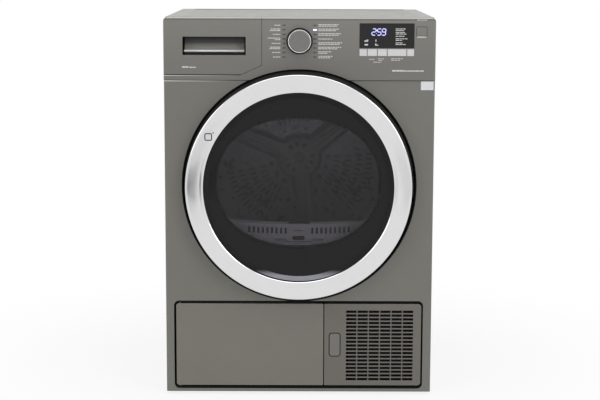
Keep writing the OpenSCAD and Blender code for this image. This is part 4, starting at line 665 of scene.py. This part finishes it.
def kickEdge(nt, p):
    # 1 on the outermost rim of the flap and the grille, which is painted black as shade
    return outsideStep(nt, *p["kick"], p["round"], -p["edge"])


def flapMaterial(p):
    # painted shade: black only on the narrow edges that show in the gap
    mat = copied(flapGrey, "flapFront")
    nt = mat.node_tree
    middle = axisSteps(nt, {n: (flapBox[0][n] + p["inset"], flapBox[1][n] - p["inset"]) for n in (0, 2)})
    behind = maths(nt, "MULTIPLY", axisSteps(nt, {1: (frontY + p["behind"]["flap"], None)}), opposite(nt, middle))
    return blackened(mat, maths(nt, "MAXIMUM", behind, kickEdge(nt, p)))


def ventMaterial(p, name, edged):
    # the front's grey, with painted shade: black from just behind it and, where edged, along the rim of the kick
    # opening
    mat = copied(grilleGrey, name)
    nt = mat.node_tree
    deep = axisSteps(nt, {1: (frontY + p["behind"]["grille"], None)})
    return blackened(mat, maths(nt, "MAXIMUM", deep, kickEdge(nt, p)) if edged else deep)


boardTone = {
    "side": 0.262, "back": 0.238, "front": -0.243,  # where the side rims, the back strip and the front lip start
    "rim": 1.13, "line": 0.55, "lip": 1.22,         # their tones, times the board's own; the paler lip is a painted highlight
}


def boardMaterial(p):
    # the two side rims are a little paler, the front lip is paler as a painted highlight, and a darker matt strip
    # runs along the back
    mat = copied(topLacquer, "boardTop")
    nt = mat.node_tree
    rough = nt.nodes["Principled BSDF"].inputs["Roughness"]
    within = axisSteps(nt, {0: (-p["side"], p["side"])})
    back = maths(nt, "MULTIPLY", within, axisSteps(nt, {1: (p["back"], None)}))
    front = axisSteps(nt, {1: (None, p["front"])})
    for where, tone in ((opposite(nt, within), "rim"), (front, "lip"), (back, "line")):
        repainted(mat, where, scaled(colours["board"], p[tone]))
    nt.links.new(maths(nt, "MAXIMUM", back, rough.links[0].from_socket), rough)
    return mat


grip = {
    "x": (-0.2555, -0.1175), "z": (0.7640, 0.8040),  # the opening of the hand recess, metres
    "margin": 0.0015, "behind": 0.0008,              # its painted light and shade reach this far beyond it, and start behind the front
    "end": 0.0035,                                   # painted shade: black strip at each end
    # painted light and shade: from each z on, the recess's tone, bright above the lip and darker up to the roof
    "recessShading": [(0.7795, shade(182, 181, 175)), (0.790, shade(72, 72, 70)), (0.800, shade(24, 24, 24))],
    "under": (0.7705, shade(84, 84, 82)),            # painted shade below the bright lip
}


def drawerMaterial(p):
    # painted light and shade in the hand recess: bright above its lip, darker towards its roof, and black at its two
    # ends, as if the light came from above
    mat = copied(mouldedGrey, "drawerFront")
    nt = mat.node_tree
    reach = {axis: (p[key][0] - p["margin"], p[key][1] + p["margin"]) for axis, key in ((0, "x"), (2, "z"))}
    inside = axisSteps(nt, {**reach, 1: (drawerBox[0][1] + p["behind"], None)})
    height = position(nt)[2]
    (z0, tone), *rest = p["recessShading"]
    for z1, colour in rest:
        tone = blendColours(nt, spread(nt, height, 0.0, 1.0, z0, z1), tone, colour)
        z0 = z1
    under, dim = p["under"]
    tone = blendColours(nt, axisSteps(nt, {2: (None, under)}), tone, dim)
    ends = opposite(nt, axisSteps(nt, {0: (p["x"][0] + p["end"], p["x"][1] - p["end"])}))
    return blackened(repainted(mat, inside, tone), maths(nt, "MULTIPLY", inside, ends))


satinBlack = surface("satinBlack", (0.010, 0.010, 0.0105, 1), {
    "grain": 900, "vary": 0.2, "mottleTo": 1.5, "rough": (0.3, 0.42), "bump": 500, "depth": 0.00003},
    {"Specular IOR Level": 0.12})
blackEnamel = surface("blackEnamel", (0.012, 0.012, 0.012, 1), {
    "grain": 500, "vary": 0.2, "mottleTo": 1.5, "rough": (0.5, 0.65), "bump": 260, "depth": 0.0001},
    {"Specular IOR Level": 0.2})
special = {  # nodes that differ from their slot's finish
    "control_panel": jointLine(seamHighlight(topLip(copied(mouldedGrey, "fascia")), *seams["fascia"]),
                               seams["fasciaJoint"]),
    "tank_front": jointLine(topLip(drawerMaterial(grip)), seams["drawerJoint"]),
    "front_panel": panelMaterial(black), "service_flap": flapMaterial(black), "top_panel": boardMaterial(boardTone),
    "vent_grille": ventMaterial(black, "ventFront", True), "flap_button": ventMaterial(black, "buttonFront", False),
    "display_window": displayBlack, "door_frame": satinBlack, "lint_filter": darkMould, "compressor": blackEnamel,
}


def dressNodes():
    # each node takes its slot's material, or its own
    slots = {s["node"]: s["material_slot"] for s in frame["record"]["subparts"]}
    for name, obj in nodes.items():
        mat = special.get(name, finishes[slots[name]])
        if not obj.material_slots:
            obj.data.materials.append(mat)
        for s in obj.material_slots:
            s.material = mat


dressNodes()
print("materials on all nodes")


def putMesh(name, verts, loops, body, material, smooth=True):
    # one closed mesh at the origin, riding on a body, turned outward by the sign of its volume
    verts = np.asarray(verts, float)
    tris = np.array([(f[0], f[k], f[k + 1]) for f in loops for k in range(1, len(f) - 1)])
    a, b, c = (verts[tris[:, k]] for k in range(3))
    if np.einsum("ij,ij->", a, np.cross(b, c)) < 0:
        loops = [f[::-1] for f in loops]
    obj = newObject(name, verts.tolist(), loops, material)
    obj.data.shade_smooth() if smooth else obj.data.shade_flat()
    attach(obj, body)
    return obj


def gridFaces(rows, cols, wrapRows, wrapCols):
    # quads between neighbouring points of a rows x cols grid, joined round where wrapped
    i = np.arange(rows if wrapRows else rows - 1)
    j = np.arange(cols if wrapCols else cols - 1)
    i, j = (a.ravel() for a in np.meshgrid(i, j, indexing="ij"))
    ii, jj = (i + 1) % rows, (j + 1) % cols
    return np.stack((i * cols + j, i * cols + jj, ii * cols + jj, ii * cols + j), 1)


def rounded(points, radius, steps=5):
    # a closed profile whose corners become arcs: each arc is a quadratic curve from a point before the corner
    # to one after it, pulled towards the corner
    p = np.asarray(points, float)
    before, after = np.roll(p, 1, 0) - p, np.roll(p, -1, 0) - p
    lb, la = (np.linalg.norm(v, axis=1, keepdims=True) for v in (before, after))
    r = np.minimum(np.broadcast_to(np.asarray(radius, float).reshape(-1, 1), (len(p), 1)), np.minimum(lb, la) * 0.45)
    a, b = p + before / lb * r, p + after / la * r
    t = np.linspace(0, 1, steps)[None, :, None]
    curve = (1 - t) ** 2 * a[:, None] + 2 * t * (1 - t) * p[:, None] + t ** 2 * b[:, None]
    return curve.reshape(-1, 2)


def revolved(name, profile, centre, body, material, turns=192):
    # point(u, v): the profile's radius and depth at v (mm), turned through u about a line along Y;
    # a profile that starts and ends on the axis is left open there and its poles are single points
    prof = np.asarray(profile, float) / 1000
    a = np.linspace(0, 2 * math.pi, turns, endpoint=False)
    poles = prof[0, 0] < 1e-9 and prof[-1, 0] < 1e-9
    ring = prof[1:-1] if poles else prof
    r, y = ring[:, 0], ring[:, 1]
    verts = np.stack((centre[0] + np.outer(np.cos(a), r), np.broadcast_to(y, (turns, len(y))),
                      centre[1] + np.outer(np.sin(a), r)), 2).reshape(-1, 3)
    loops = gridFaces(turns, len(r), True, not poles).tolist()
    if poles:
        n, i = len(verts), np.arange(turns)
        j = (i + 1) % turns
        verts = np.vstack((verts, [[centre[0], prof[0, 1], centre[1]], [centre[0], prof[-1, 1], centre[1]]]))
        first = np.stack((i * 0 + n, i * len(r), j * len(r)), 1)
        last = np.stack((i * len(r) + len(r) - 1, i * 0 + n + 1, j * len(r) + len(r) - 1), 1)
        loops = first.tolist() + last.tolist() + loops
    return putMesh(name, verts, loops, body, material)


def plates(name, boxes, y, thick, corner, body, material, turns=None):
    # small rounded plates that face the front: outline(u) = centre + (half size - r) * sign + r * (cos u, sin u),
    # put forward by the thickness; boxes holds centre x, z, width, height in mm; turns rotates each one
    b = np.asarray(boxes, float)
    perCorner, count = 5, len(b)
    n = 4 * perCorner
    start = np.repeat(np.arange(4), perCorner) * math.pi / 2
    u = start + np.tile(np.linspace(0, math.pi / 2, perCorner), 4)
    side = np.stack((np.sign(np.cos(start + math.pi / 4)), np.sign(np.sin(start + math.pi / 4))), 1)
    r = np.minimum(corner, np.minimum(b[:, 2], b[:, 3]) / 2 * 0.999)[:, None, None]
    half = b[:, None, 2:4] / 2
    flat = side[None] * (half - r) + r * np.stack((np.cos(u), np.sin(u)), 1)[None]
    if turns is not None:
        t = np.radians(np.asarray(turns, float))[:, None]
        flat = np.stack((flat[..., 0] * np.cos(t) - flat[..., 1] * np.sin(t),
                         flat[..., 0] * np.sin(t) + flat[..., 1] * np.cos(t)), 2)
    flat = flat + b[:, None, 0:2]
    depth = np.broadcast_to(np.array([y, y - thick])[None, :, None], (count, 2, n))
    x, z = (np.broadcast_to(flat[:, None, :, k], (count, 2, n)) for k in (0, 1))
    verts = np.stack((x, depth, z), 3).reshape(-1, 3) / 1000
    i = np.arange(n)
    j = (i + 1) % n
    sides = np.stack((i, j, j + n, i + n), 1)
    base = (np.arange(count) * 2 * n)[:, None, None]
    loops = (sides[None] + base).reshape(-1, 4).tolist()
    loops += (i[None] + n + base[:, 0]).tolist() + (i[::-1][None] + base[:, 0]).tolist()
    return putMesh(name, verts, loops, body, material, False)


def boxOf(node):
    # a node's corners in millimetres
    return tuple(np.array(c) * 1000 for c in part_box(node))


def middleOf(box):
    # the middle of a box in x and z
    return (box[0][0] + box[1][0]) / 2, (box[0][2] + box[1][2]) / 2


def metres(point):
    # from millimetres
    return tuple(c / 1000 for c in point)


def printed(name, bars, y, corner, body):
    # thin bars of pale ink on a face at y
    return plates(name, bars, y + ink["proud"], ink["thick"], corner, body, printedInk)


ink = {"proud": 0.05, "thick": 0.12}  # mm in front of the face, and in all

ringBox, nose = boxOf("door_ring"), boxOf("control_panel")[0][1]
doorZ = (ringBox[0][2] + ringBox[1][2]) / 2

trim = {
    "centre": (-1.1, doorZ - 1.2),
    "outer": 249.2, "inner": 209.2,  # mm
    "front": ringBox[0][1],
    "crown": 0.12,                   # how far the edges of the face lie behind its middle
    "turnIn": 5.0, "flat": 0.75,     # radius of the inner edge's arc, and its depth as a share of that
}


def makeTrimRing(p):
    # profile: face y = front + crown * s^2 with s from -1 to 1 across it, an inner edge that turns back in an arc
    # r = inner + d * (1 - sin t), y = front + d * flat * (1 - cos t), a round outer edge and a stepped back
    r1, r0, y, d = p["outer"], p["inner"], p["front"], p["turnIn"]
    s = np.linspace(-1, 1, 9)
    t = np.linspace(math.pi / 2, 0.12, 9)
    inner = np.stack((r0 + d * (1 - np.sin(t)), y + d * p["flat"] * (1 - np.cos(t))), 1)
    middle, half = (r0 + r1 + d - 2.2) / 2, (r1 - r0 - d - 2.6) / 2
    face = np.stack((middle + half * s, y + p["crown"] * s ** 2), 1)
    outer = [[r1 - 0.9, y + 0.6], [r1 - 0.3, y + 1.4], [r1, y + 2.6], [r1, y + 6.7]]
    back = [[r1 - 2, y + 6.7], [r1 - 2, y + 4.4], [r0 + 2.4, y + 4.4], [r0 + 1.2, y + 8.2], [r0, y + 8.2]]
    ring = revolved("trimRing", np.vstack((inner, face, outer, back)), metres(p["centre"]), "door",
                    chromePlating, 256)
    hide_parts("door_ring")


pane = {"centre": trim["centre"], "radius": 204.0, "front": trim["front"] + 7.0, "thick": 3.0, "rise": 0.3}
rim = {
    "inner": 196.4, "outer": trim["inner"] + 0.3, "depth": (2.9, 7.5), "thick": 1.5,
    "lit": (0.0135, 0.0265),  # metres over its lowest point: painted reflection below the first, black above the second
}


def makePane(p):
    # a very shallow dish: y = front + rise * (r / radius)^2, closed by the same curve a glass thickness behind;
    # its last ring is narrow, so that the face keeps its own smooth normals nearly to the edge
    r = np.append(np.linspace(0, 0.985, 14), 1)
    front = np.stack((p["radius"] * r, p["front"] + p["rise"] * r ** 2), 1)
    back = front[::-1] + np.array([0, p["thick"]])
    obj = revolved("smokedWindow", np.vstack((front, back)), metres(p["centre"]), "door", smokedPane)
    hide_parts("door_glass")


rimBlack = surface("rimBlack", (0.017, 0.017, 0.0175, 1), {
    "grain": 900, "vary": 0.2, "mottleTo": 1.3, "rough": (0.75, 0.85), "bump": 300, "depth": 0.00002},
    {"Specular IOR Level": 0.1})


def rimMaterial(p):
    # the glass's bevelled edge: matt black, with a painted reflection: mirror-grey only where its lowest part turns
    # up to the light
    mat = copied(rimBlack, "rimGlass")
    nt = mat.node_tree
    out = nt.nodes["Material Output"]
    grey, = addNodes(nt, "BsdfPrincipled")
    grey.inputs["Metallic"].default_value = 0.6
    nt.links.new(blendColours(nt, grain(nt, 60), (0.22, 0.22, 0.25, 1), (0.26, 0.26, 0.29, 1)),
                 grey.inputs["Base Color"])
    nt.links.new(spread(nt, grain(nt, 90), 0.4, 0.5), grey.inputs["Roughness"])
    low = (trim["centre"][1] - trim["inner"]) / 1000
    lit = spread(nt, position(nt)[2], 1, 0, low + p["lit"][0], low + p["lit"][1])
    nt.links.new(mixShaders(nt, lit, out.inputs[0].links[0].from_socket, grey.outputs[0]), out.inputs[0])
    return mat


def makeRim(p):
    # a cone from the trim ring's inner edge back to the pane
    y0, y1 = (trim["front"] + d for d in p["depth"])
    profile = [[p["inner"], y1], [p["outer"], y0], [p["outer"], y1 + p["thick"]], [p["inner"], y1 + p["thick"]]]
    ring = revolved("paneRim", profile, metres(pane["centre"]), "door", rimMaterial(p), 256)
    ring.data.shade_flat()


makeRim(rim)
makeTrimRing(trim)
makePane(pane)
print("door ring and pane made")

star = {
    "centre": (0.0, doorZ), "face": boxOf("drum_back")[0][1] + 0.9,
    "arms": (38, 158, 278), "half": (29.0, 21.5), "reach": 231.0, "hub": 59.0,  # degrees, then mm
    "slope": 10.0, "rise": 7.0, "turns": 720,
    "bolts": (33.0, (68, 98, 128, 188, 218, 248, 308, 338, 8)), "boltSize": 11.0, "capSize": 30.0,
}


def starRadius(p, turn, inset):
    # the radius of the three-armed outline at each angle: |sin(away)| * r = half width(r), or the hub's
    w0, w1 = p["half"]
    k = (w0 - w1) / p["reach"]
    away = np.abs((turn[:, None] - np.radians(p["arms"])[None] + math.pi) % (2 * math.pi) - math.pi)
    side = (w0 - inset) / (np.sin(away) + k * np.cos(away) + 1e-9)
    end = (p["reach"] - inset) / np.maximum(np.cos(away), 1e-6)
    arm = np.where(away < math.pi / 2, np.minimum(side, end), 0).max(1)
    return np.maximum(arm, p["hub"] - inset)


def makeStar(p):
    # rows of one outline: flat top, down the slope, back under itself; both poles on the axis
    n, y, (x, z) = p["turns"], p["face"], p["centre"]
    turn = np.arange(n) / n * 2 * math.pi
    top, flank = y - p["rise"], p["slope"]
    rows = [(flank + 26, top + 1.6), (flank + 12, top + 1.6), (flank + 10, top), (flank, top), (0.6, y - 0.3),
            (0.6, y + 0.3)]
    verts = []
    for inset, depth in rows:
        r = np.maximum(starRadius(p, turn, inset), 6)
        verts.append(np.stack((x + r * np.cos(turn), np.full(n, depth), z + r * np.sin(turn)), 1))
    m = len(rows)
    verts = np.vstack(verts + [[[x, rows[0][1], z], [x, rows[-1][1], z]]]) / 1000
    i = np.arange(n)
    j = (i + 1) % n
    loops = gridFaces(m, n, False, True).tolist()
    loops += np.stack((i * 0 + m * n, j, i), 1).tolist()
    loops += np.stack((i * 0 + m * n + 1, (m - 1) * n + i, (m - 1) * n + j), 1).tolist()
    putMesh("drumStar", verts, loops, "drum", starSteel, False)
    r, size = p["bolts"][0], p["boltSize"]
    bolts = [(x + r * math.cos(a), z + r * math.sin(a), size, size) for a in map(math.radians, p["bolts"][1])]
    plates("drumBolts", bolts, top + 2, 2.4, size / 2 - 0.1, "drum", boltSteel)
    size = p["capSize"]
    plates("drumCap", [(x, z, size, size)], top + 2, 3.2, size / 2 - 0.1, "drum", boltSteel)


makeStar(star)

filterFront = {  # x, z, width and height of each mark, mm
    "y": boxOf("filter_housing")[0][1],
    "grip": (-1.0, 352.0, 27.0, 9.0),
    "lines": [(-47.0, 337.0, 21.0, 1.8), (31.0, 337.0, 21.0, 1.8), (-1.0, 369.0, 19.0, 1.6),
              (-1.0, 343.5, 60.0, 1.2)],
}


def makeFilterFront(p):
    plates("filterGrip", [p["grip"]], p["y"] + 0.05, 0.5, 2.5, "cabinet", darkMould)
    plates("filterLines", p["lines"], p["y"] + 0.05, 0.4, 0.6, "cabinet", darkMould)


makeFilterFront(filterFront)
print("drum star and filter front made")

knobBox = boxOf("programme_knob")
dial = {
    "centre": middleOf(knobBox), "radius": (knobBox[1][0] - knobBox[0][0]) / 2,
    "front": knobBox[0][1], "back": knobBox[1][1], "base": nose + 1,
    "faceIn": 3.6, "hollow": 0.4,    # mm from the outside to the grey face's edge, and how deep its middle lies
    "ringIn": 2.8, "ringHalf": 0.8,  # from the outside to the middle of the bright ring, and half its width
    "skirtIn": 2.0, "bore": 5.0,     # from the outside to the dark skirt's inner edge; radius of the hollow behind
    "gap": (-3, 1.7, 0.12),          # dark gap round the knob: radii from the knob's own, and how proud it is
}


def makeDial(p):
    # turned pieces: a grey cap with a slightly hollow face, a bright ring let into it, a dark skirt and its gap
    centre, r, y, base = metres(p["centre"]), p["radius"], p["front"], p["base"]
    s = np.linspace(0, 1, 8)
    edge, bore = r - p["faceIn"], p["bore"]
    face = np.stack((edge * s, y + 0.9 - p["hollow"] * s ** 2), 1)
    cap = np.vstack((face, [[edge, y + 2.4], [r - 5, y + 2.6], [bore, y + 2.6], [bore, base], [3, base + 1],
                            [3, p["back"]], [0, p["back"]]]))
    body = revolved("dialCap", cap, centre, "knob", satinKnob, 128)
    t = np.linspace(0, math.pi, 9)
    half, inside = p["ringHalf"], r - p["skirtIn"]
    bright = np.stack((r - p["ringIn"] - half * np.cos(t), y + 0.6 - 0.6 * np.sin(t)), 1)
    bright = np.vstack((bright, [[inside, y + 2.2], [edge, y + 2.2]]))
    revolved("dialRing", bright, centre, "knob", chromePlating, 128)
    skirt = rounded([[inside, y + 0.9], [r - 0.6, y + 1.6], [r, base - 2], [r, base], [r - 2, base],
                     [r - 2.9, y + 2.7]], [0.3, 0.5, 0.4, 0.4, 0.4, 0.4])
    revolved("dialSkirt", skirt, centre, "knob", satinBlack, 128)
    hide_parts("programme_knob")
    a, b, proud = p["gap"]
    gap = [[r + a, nose + 0.1], [r + a, nose - proud], [r + b, nose - proud], [r + b + 0.2, nose + 0.1]]
    revolved("dialGap", gap, centre, "cabinet", satinBlack, 128)


makeDial(dial)

rng = np.random.default_rng(7)


def words(x, z, length, height, gap=1.0, fromRight=False):
    # a printed line as a few short bars of random lengths, the last one cut to the line's end
    out, at = [], 0.0
    while at < length - 1.5:
        w = min(float(rng.uniform(3.0, 8.5)), length - at)
        c = at + w / 2
        out.append((x - c if fromRight else x + c, z, w, height))
        at += w + gap
    return out


programmes = {
    "rows": np.linspace(829.2, 760.3, 8),
    "pills": (-34.0, 33.5), "pill": (7.2, 2.6),  # x of the two columns, width and height
    "lit": 1, "litBy": (1.6, 0.8),               # row of the right column, and how much larger it glows
    "leftLines": [(13,), (21, 23), (17,), (27, 12), (19,), (22, 24), (18,), (16,)],
    "rightLines": [(44, 40), (46, 38), (50, 44), (32,), (52, 46), (50, 41), (28, 22), (31, 26)],
    "leftFrom": -42.0, "rightFrom": 41.0,
    "lineHeight": 1.8, "pitch": 3.3, "raise": 1.7,  # two lines stand a little higher than one
}


def makeProgrammes(p):
    # two columns of pilot pills beside the dial, each with one or two printed lines outside it
    w, h = p["pill"]
    off = [(x, z, w, h) for x in p["pills"] for z in p["rows"]]
    x, z, w, h = off.pop(len(p["rows"]) + p["lit"])
    plates("pilotPills", off, nose + 0.05, 0.3, 1.2, "cabinet", ledOff)
    plates("pilotLit", [(x, z, w + p["litBy"][0], h + p["litBy"][1])], nose + 0.05, 0.4, 1.6, "cabinet",
           pilotGlow)
    bars = []
    for z, left, right in zip(p["rows"], p["leftLines"], p["rightLines"]):
        for lines, start, gap, fromRight in ((left, p["leftFrom"], 0.9, True), (right, p["rightFrom"], 1.0, False)):
            top = z + (p["raise"] if len(lines) == 2 else 0)
            for k, length in enumerate(lines):
                bars += words(start, top - p["pitch"] * k, length, p["lineHeight"], gap, fromRight)
    printed("programmeMarks", bars, nose, 0.35, "cabinet")


makeProgrammes(programmes)

glassBox = boxOf("display_window")
readout = {
    "front": glassBox[0][1],
    "digits": "259",
    "height": 13.6, "width": 8.0, "stroke": 1.7,
    "x": (162.0, 173.6, 183.6), "z": 815.2, "colon": (3.2, 1.6),  # height over the middle, size
    "segments": {"2": "abged", "5": "afgcd", "9": "abcdfg"},
    "slant": 6,
}


def makeReadout(p):
    # seven strokes to a digit, each a small rounded bar; a is on top, then clockwise, g in the middle
    w, h, t = p["width"], p["height"], p["stroke"]
    place = {"a": (0, h / 2, 1), "b": (w / 2, h / 4, 0), "c": (w / 2, -h / 4, 0), "d": (0, -h / 2, 1),
             "e": (-w / 2, -h / 4, 0), "f": (-w / 2, h / 4, 0), "g": (0, 0, 1)}
    bars, lean = [], math.tan(math.radians(p["slant"]))
    for x, digit in zip(p["x"], p["digits"]):
        for key in p["segments"][digit]:
            dx, dz, flat = place[key]
            size = (w - t, t) if flat else (t, h / 2 - t * 0.6)
            bars.append((x + dx + dz * lean, p["z"] + dz, *size))
    mid = (p["x"][0] + p["x"][1]) / 2
    up, dot = p["colon"]
    bars += [(mid + dz * lean, p["z"] + dz, dot, dot) for dz in (up, -up)]
    plates("digits", bars, p["front"] + 0.05, 0.15, 0.6, "cabinet", digitGlow)


displayMarks = {
    "lines": [(209.5, 822.0, 22), (209.5, 818.6, 18), (209.5, 814.4, 20), (209.5, 811.0, 24), (209.5, 806.0, 19),
              (209.5, 800.6, 26), (209.5, 797.2, 15), (209.5, 791.6, 17), (209.5, 788.2, 22)],
    "icons": [(145.5, 795.5, 8.5, 2.6), (148.0, 797.8, 4.2, 1.6), (145.5, 787.5, 7.5, 3.4), (166.5, 796.5, 2.0, 5.5),
              (168.5, 786.5, 7.0, 1.8), (166.0, 788.8, 3.2, 2.6)],
    "lineHeight": 1.7,
}


def makeDisplayMarks(p, y):
    bars = [b for x, z, length in p["lines"] for b in words(x, z, length, p["lineHeight"])]
    printed("displayLines", bars, y, 0.3, "cabinet")
    printed("displayIcons", p["icons"], y, 0.9, "cabinet")


makeReadout(readout)
makeDisplayMarks(displayMarks, readout["front"])

keyMarks = {
    "lines": [(152.0, 755.8, 11), (171.0, 757.0, 14), (173.0, 753.6, 9), (200.0, 757.4, 26), (200.0, 754.0, 22),
              (161.0, 749.6, 18), (256.0, 841.2, 23)],
    "lineHeight": 1.4,
}


def makeKeyMarks(p):
    bars = [b for x, z, length in p["lines"] for b in words(x, z, length, p["lineHeight"])]
    printed("keyMarks", bars, nose, 0.3, "cabinet")


makeKeyMarks(keyMarks)
print("dial, pilot lights, readout and marks made")

buttonBox, startBox = boxOf("flap_button"), boxOf("start_key")
grooves = {  # box, the face they lie in (mm), groove width, corner radius, body, width and height of the face
    "button": (buttonBox, frontY * 1000, 2.2, 5.0, "release_button", (22.5, 51.0)),
    "start": (startBox, nose, 1.3, 1.2, "start", (21.2, 18.7)),
}


def makeGrooves(p):
    # a dark groove round the release button and the start key, with their faces on top
    for name, (box, front, wide, corner, body, (w, h)) in p.items():
        x, z = middleOf(box)
        plates(name + "Groove", [(x, z, w + 2 * wide, h + 2 * wide)], front + 0.05, 0.11, corner + wide,
               "cabinet", satinBlack)
        plates(name + "Face", [(x, z, w, h)], front - 0.07, 0.2, corner, body, mouldedGrey)


makeGrooves(grooves)

sign = {"at": (-198.5, 588.0), "size": 14.5, "line": 2.3, "corner": 0.75, "dot": (3.6, 1.5, 3.2)}


def makeDoorSign(p):
    # an open square as four bars with a slanted short one at each corner, and a dot beside it
    x, z = p["at"]
    s, t = p["size"] / 2, p["line"]
    bars = [(x, z + s, 2 * s - 3, t), (x, z - s, 2 * s - 3, t), (x - s, z, t, 2 * s - 3), (x + s, z, t, 2 * s - 3)]
    c = s - p["corner"]
    corners = [(x + i * c, z + k * c, 2.6, t) for i in (-1, 1) for k in (-1, 1)]
    turns = [0] * 4 + [45, -45, -45, 45]
    y, (dx, dz, dot) = trim["front"] + 0.6, p["dot"]
    plates("doorSign", bars + corners, y, 0.75, 0.5, "door", darkInk, turns)
    plates("doorSignDot", [(x + s + dx, z + s + dz, dot, dot)], y, 0.75, dot / 2, "door", darkInk)


makeDoorSign(sign)

gripLip = {
    "x": (grip["x"][0] * 1000 + 3.4, grip["x"][1] * 1000 - 3.4), "z": (770.6, 775.2),
    "front": nose + 2.2, "deep": 5.0,
}


def drawnOut(name, outline, ends, axis, body, material, smooth=False):
    # a closed outline in two coordinates (mm) carried straight along the third, from one end to the other
    o = np.asarray(outline, float)
    n = len(o)
    verts = np.vstack([np.insert(o, axis, e, axis=1) for e in ends]) / 1000
    i = np.arange(n)
    loops = np.stack((i, (i + 1) % n, (i + 1) % n + n, i + n), 1).tolist()
    loops += [list(range(n)), list(range(2 * n - 1, n - 1, -1))]
    return putMesh(name, verts, loops, body, material, smooth)


def halfRound(front, middle, h, steps, back):
    # a round nose, y = front + h * (1 - cos t), z = middle + h * sin t, with a square back
    t = np.linspace(-math.pi / 2, math.pi / 2, steps)
    return np.vstack((np.stack((front + h * (1 - np.cos(t)), middle + h * np.sin(t)), 1),
                      [[back, middle + h], [back, middle - h]]))


def makeLip(p):
    z0, z1 = p["z"]
    outline = halfRound(p["front"], (z1 + z0) / 2, (z1 - z0) / 2, 9, p["front"] + p["deep"])
    drawnOut("gripLip", outline, p["x"], 0, "tank", silverKey, True)


makeLip(gripLip)

shadeSills = {"x": (283.0, 296.0), "y": (-254.0, 280.5), "z": 9.3, "thick": 1.6, "up": 10.0}


def makeShadeSills(p):
    # dark angle strips that close the floor between the base tray and the side walls, standing in for the shade
    # there: an L carried along Y
    (x0, x1), z, t = p["x"], p["z"], p["thick"]
    outline = np.array([(x0, z), (x1, z), (x1, z + p["up"]), (x1 - t, z + p["up"]), (x1 - t, z + t), (x0, z + t)])
    for name, side in (("sillLeft", -1), ("sillRight", 1)):
        drawnOut(name, outline * (side, 1), p["y"], 1, "cabinet", blackRubber)


makeShadeSills(shadeSills)

shadeSeals = {
    "x": (flapBox[0][0] * 1000 + 9, ventBox[1][0] * 1000 - 9), "y": frontY * 1000 + 4.8, "high": 2.6, "gap": 0.2,
    "deep": 3.0, "low": flapBox[0][2] * 1000, "top": flapBox[1][2] * 1000,
}
# painted shade: dark sheets behind the vent slots at the front and the rear
shadeSheets = {
    "wave": 1.1, "pitch": 9.0, "thick": 0.5,
    "places": [  # name, x from and to, z from and to, y
        ("filterShadeSheet", (110.0, ventBox[1][0] * 1000 - 6), (ventBox[0][2] * 1000 + 6, ventBox[1][2] * 1000 - 6),
         ventBox[1][1] * 1000 + 1.5),
        ("rearShadeSheet", (206.0, 291.0), (52.0, 128.0), boxOf("rear_panel")[1][1] - 6.5)],
}


def makeShadeSeals(p):
    # a dark rubber strip with a round nose along the top and the bottom of the kick opening, behind the gap, standing
    # in for the shade there
    h = p["high"] / 2
    for name, middle in (("sealTop", p["top"] + p["gap"] + h), ("sealBottom", p["low"] - p["gap"] - h)):
        outline = halfRound(p["y"] - h, middle, h, 7, p["y"] + p["deep"])
        drawnOut(name, outline, p["x"], 0, "cabinet", blackRubber)


def makeShadeSheets(p):
    # painted shade: dark pleated plates behind the slots, where only shade shows through them: y = front + wave * (1
    # + cos(2 pi x / pitch))
    for name, across, upright, front in p["places"]:
        x = np.arange(across[0], across[1], p["pitch"] / 8)
        y = front + p["wave"] * (1 + np.cos(2 * math.pi * x / p["pitch"]))
        outline = np.vstack((np.stack((x, y), 1), np.stack((x, y + p["thick"]), 1)[::-1]))
        drawnOut(name, outline, upright, 2, "cabinet", satinBlack)


makeShadeSeals(shadeSeals)
makeShadeSheets(shadeSheets)

screws = {
    "y": boxOf("rear_panel")[1][1], "size": 8.6, "high": 1.6, "slot": (4.2, 1.0),
    "edge": [(x, z) for x in (-289.0, 289.0) for z in (60, 250, 440, 630, 800)]
            + [(x, 816.0) for x in (-200, -70, 70, 200)],
}


def makeScrews(p):
    # pan heads along the edges of the rear panel, each with a darker drive recess
    size, y = p["size"], p["y"] + p["high"]
    plates("rearScrews", [(x, z, size, size) for x, z in p["edge"]], y, p["high"] + 0.1, size / 2 * 0.99,
           "cabinet", plainSteel)
    cross = [(x, z, *slot) for x, z in p["edge"] for slot in (p["slot"], p["slot"][::-1])]
    plates("rearScrewDrives", cross, y + 0.05, 0.3, 0.2, "cabinet", darkInk)


makeScrews(screws)

extras = {
    "tank": [(-256.6, 737.9, 14.0, 3.1), (-240.5, 737.2, 14.0, 2.5)],  # x from, z, length, height
    "fascia": [(202.5, 730.9, 26, 3.3), (229.0, 730.5, 43, 2.5), (257.0, 804.4, 19, 2.8)],
    "sticker": (280.0, 698.2, 27.6, 19.0),
    "startGlyph": [(0, 0, 1.2, 5.0), (1.8, 0, 1.2, 3.6), (-2.0, 0, 1.2, 3.6)],
}


def makeExtras(p):
    for name, body, lines in (("tankMarks", "tank", p["tank"]), ("fasciaMarks", "cabinet", p["fascia"])):
        bars = [b for x, z, length, height in lines for b in words(x, z, length, height, 0.6)]
        printed(name, bars, nose, 0.35, body)
    plates("blankSticker", [p["sticker"]], frontY * 1000 + 0.05, 0.16, 1.2, "cabinet", paperWhite)
    x, z = middleOf(startBox)
    plates("startGlyph", [(x + dx, z + dz, w, h) for dx, dz, w, h in p["startGlyph"]], nose - 0.26, 0.06, 0.4,
           "start", printedInk)


makeExtras(extras)
print("lip, sills and marks made")
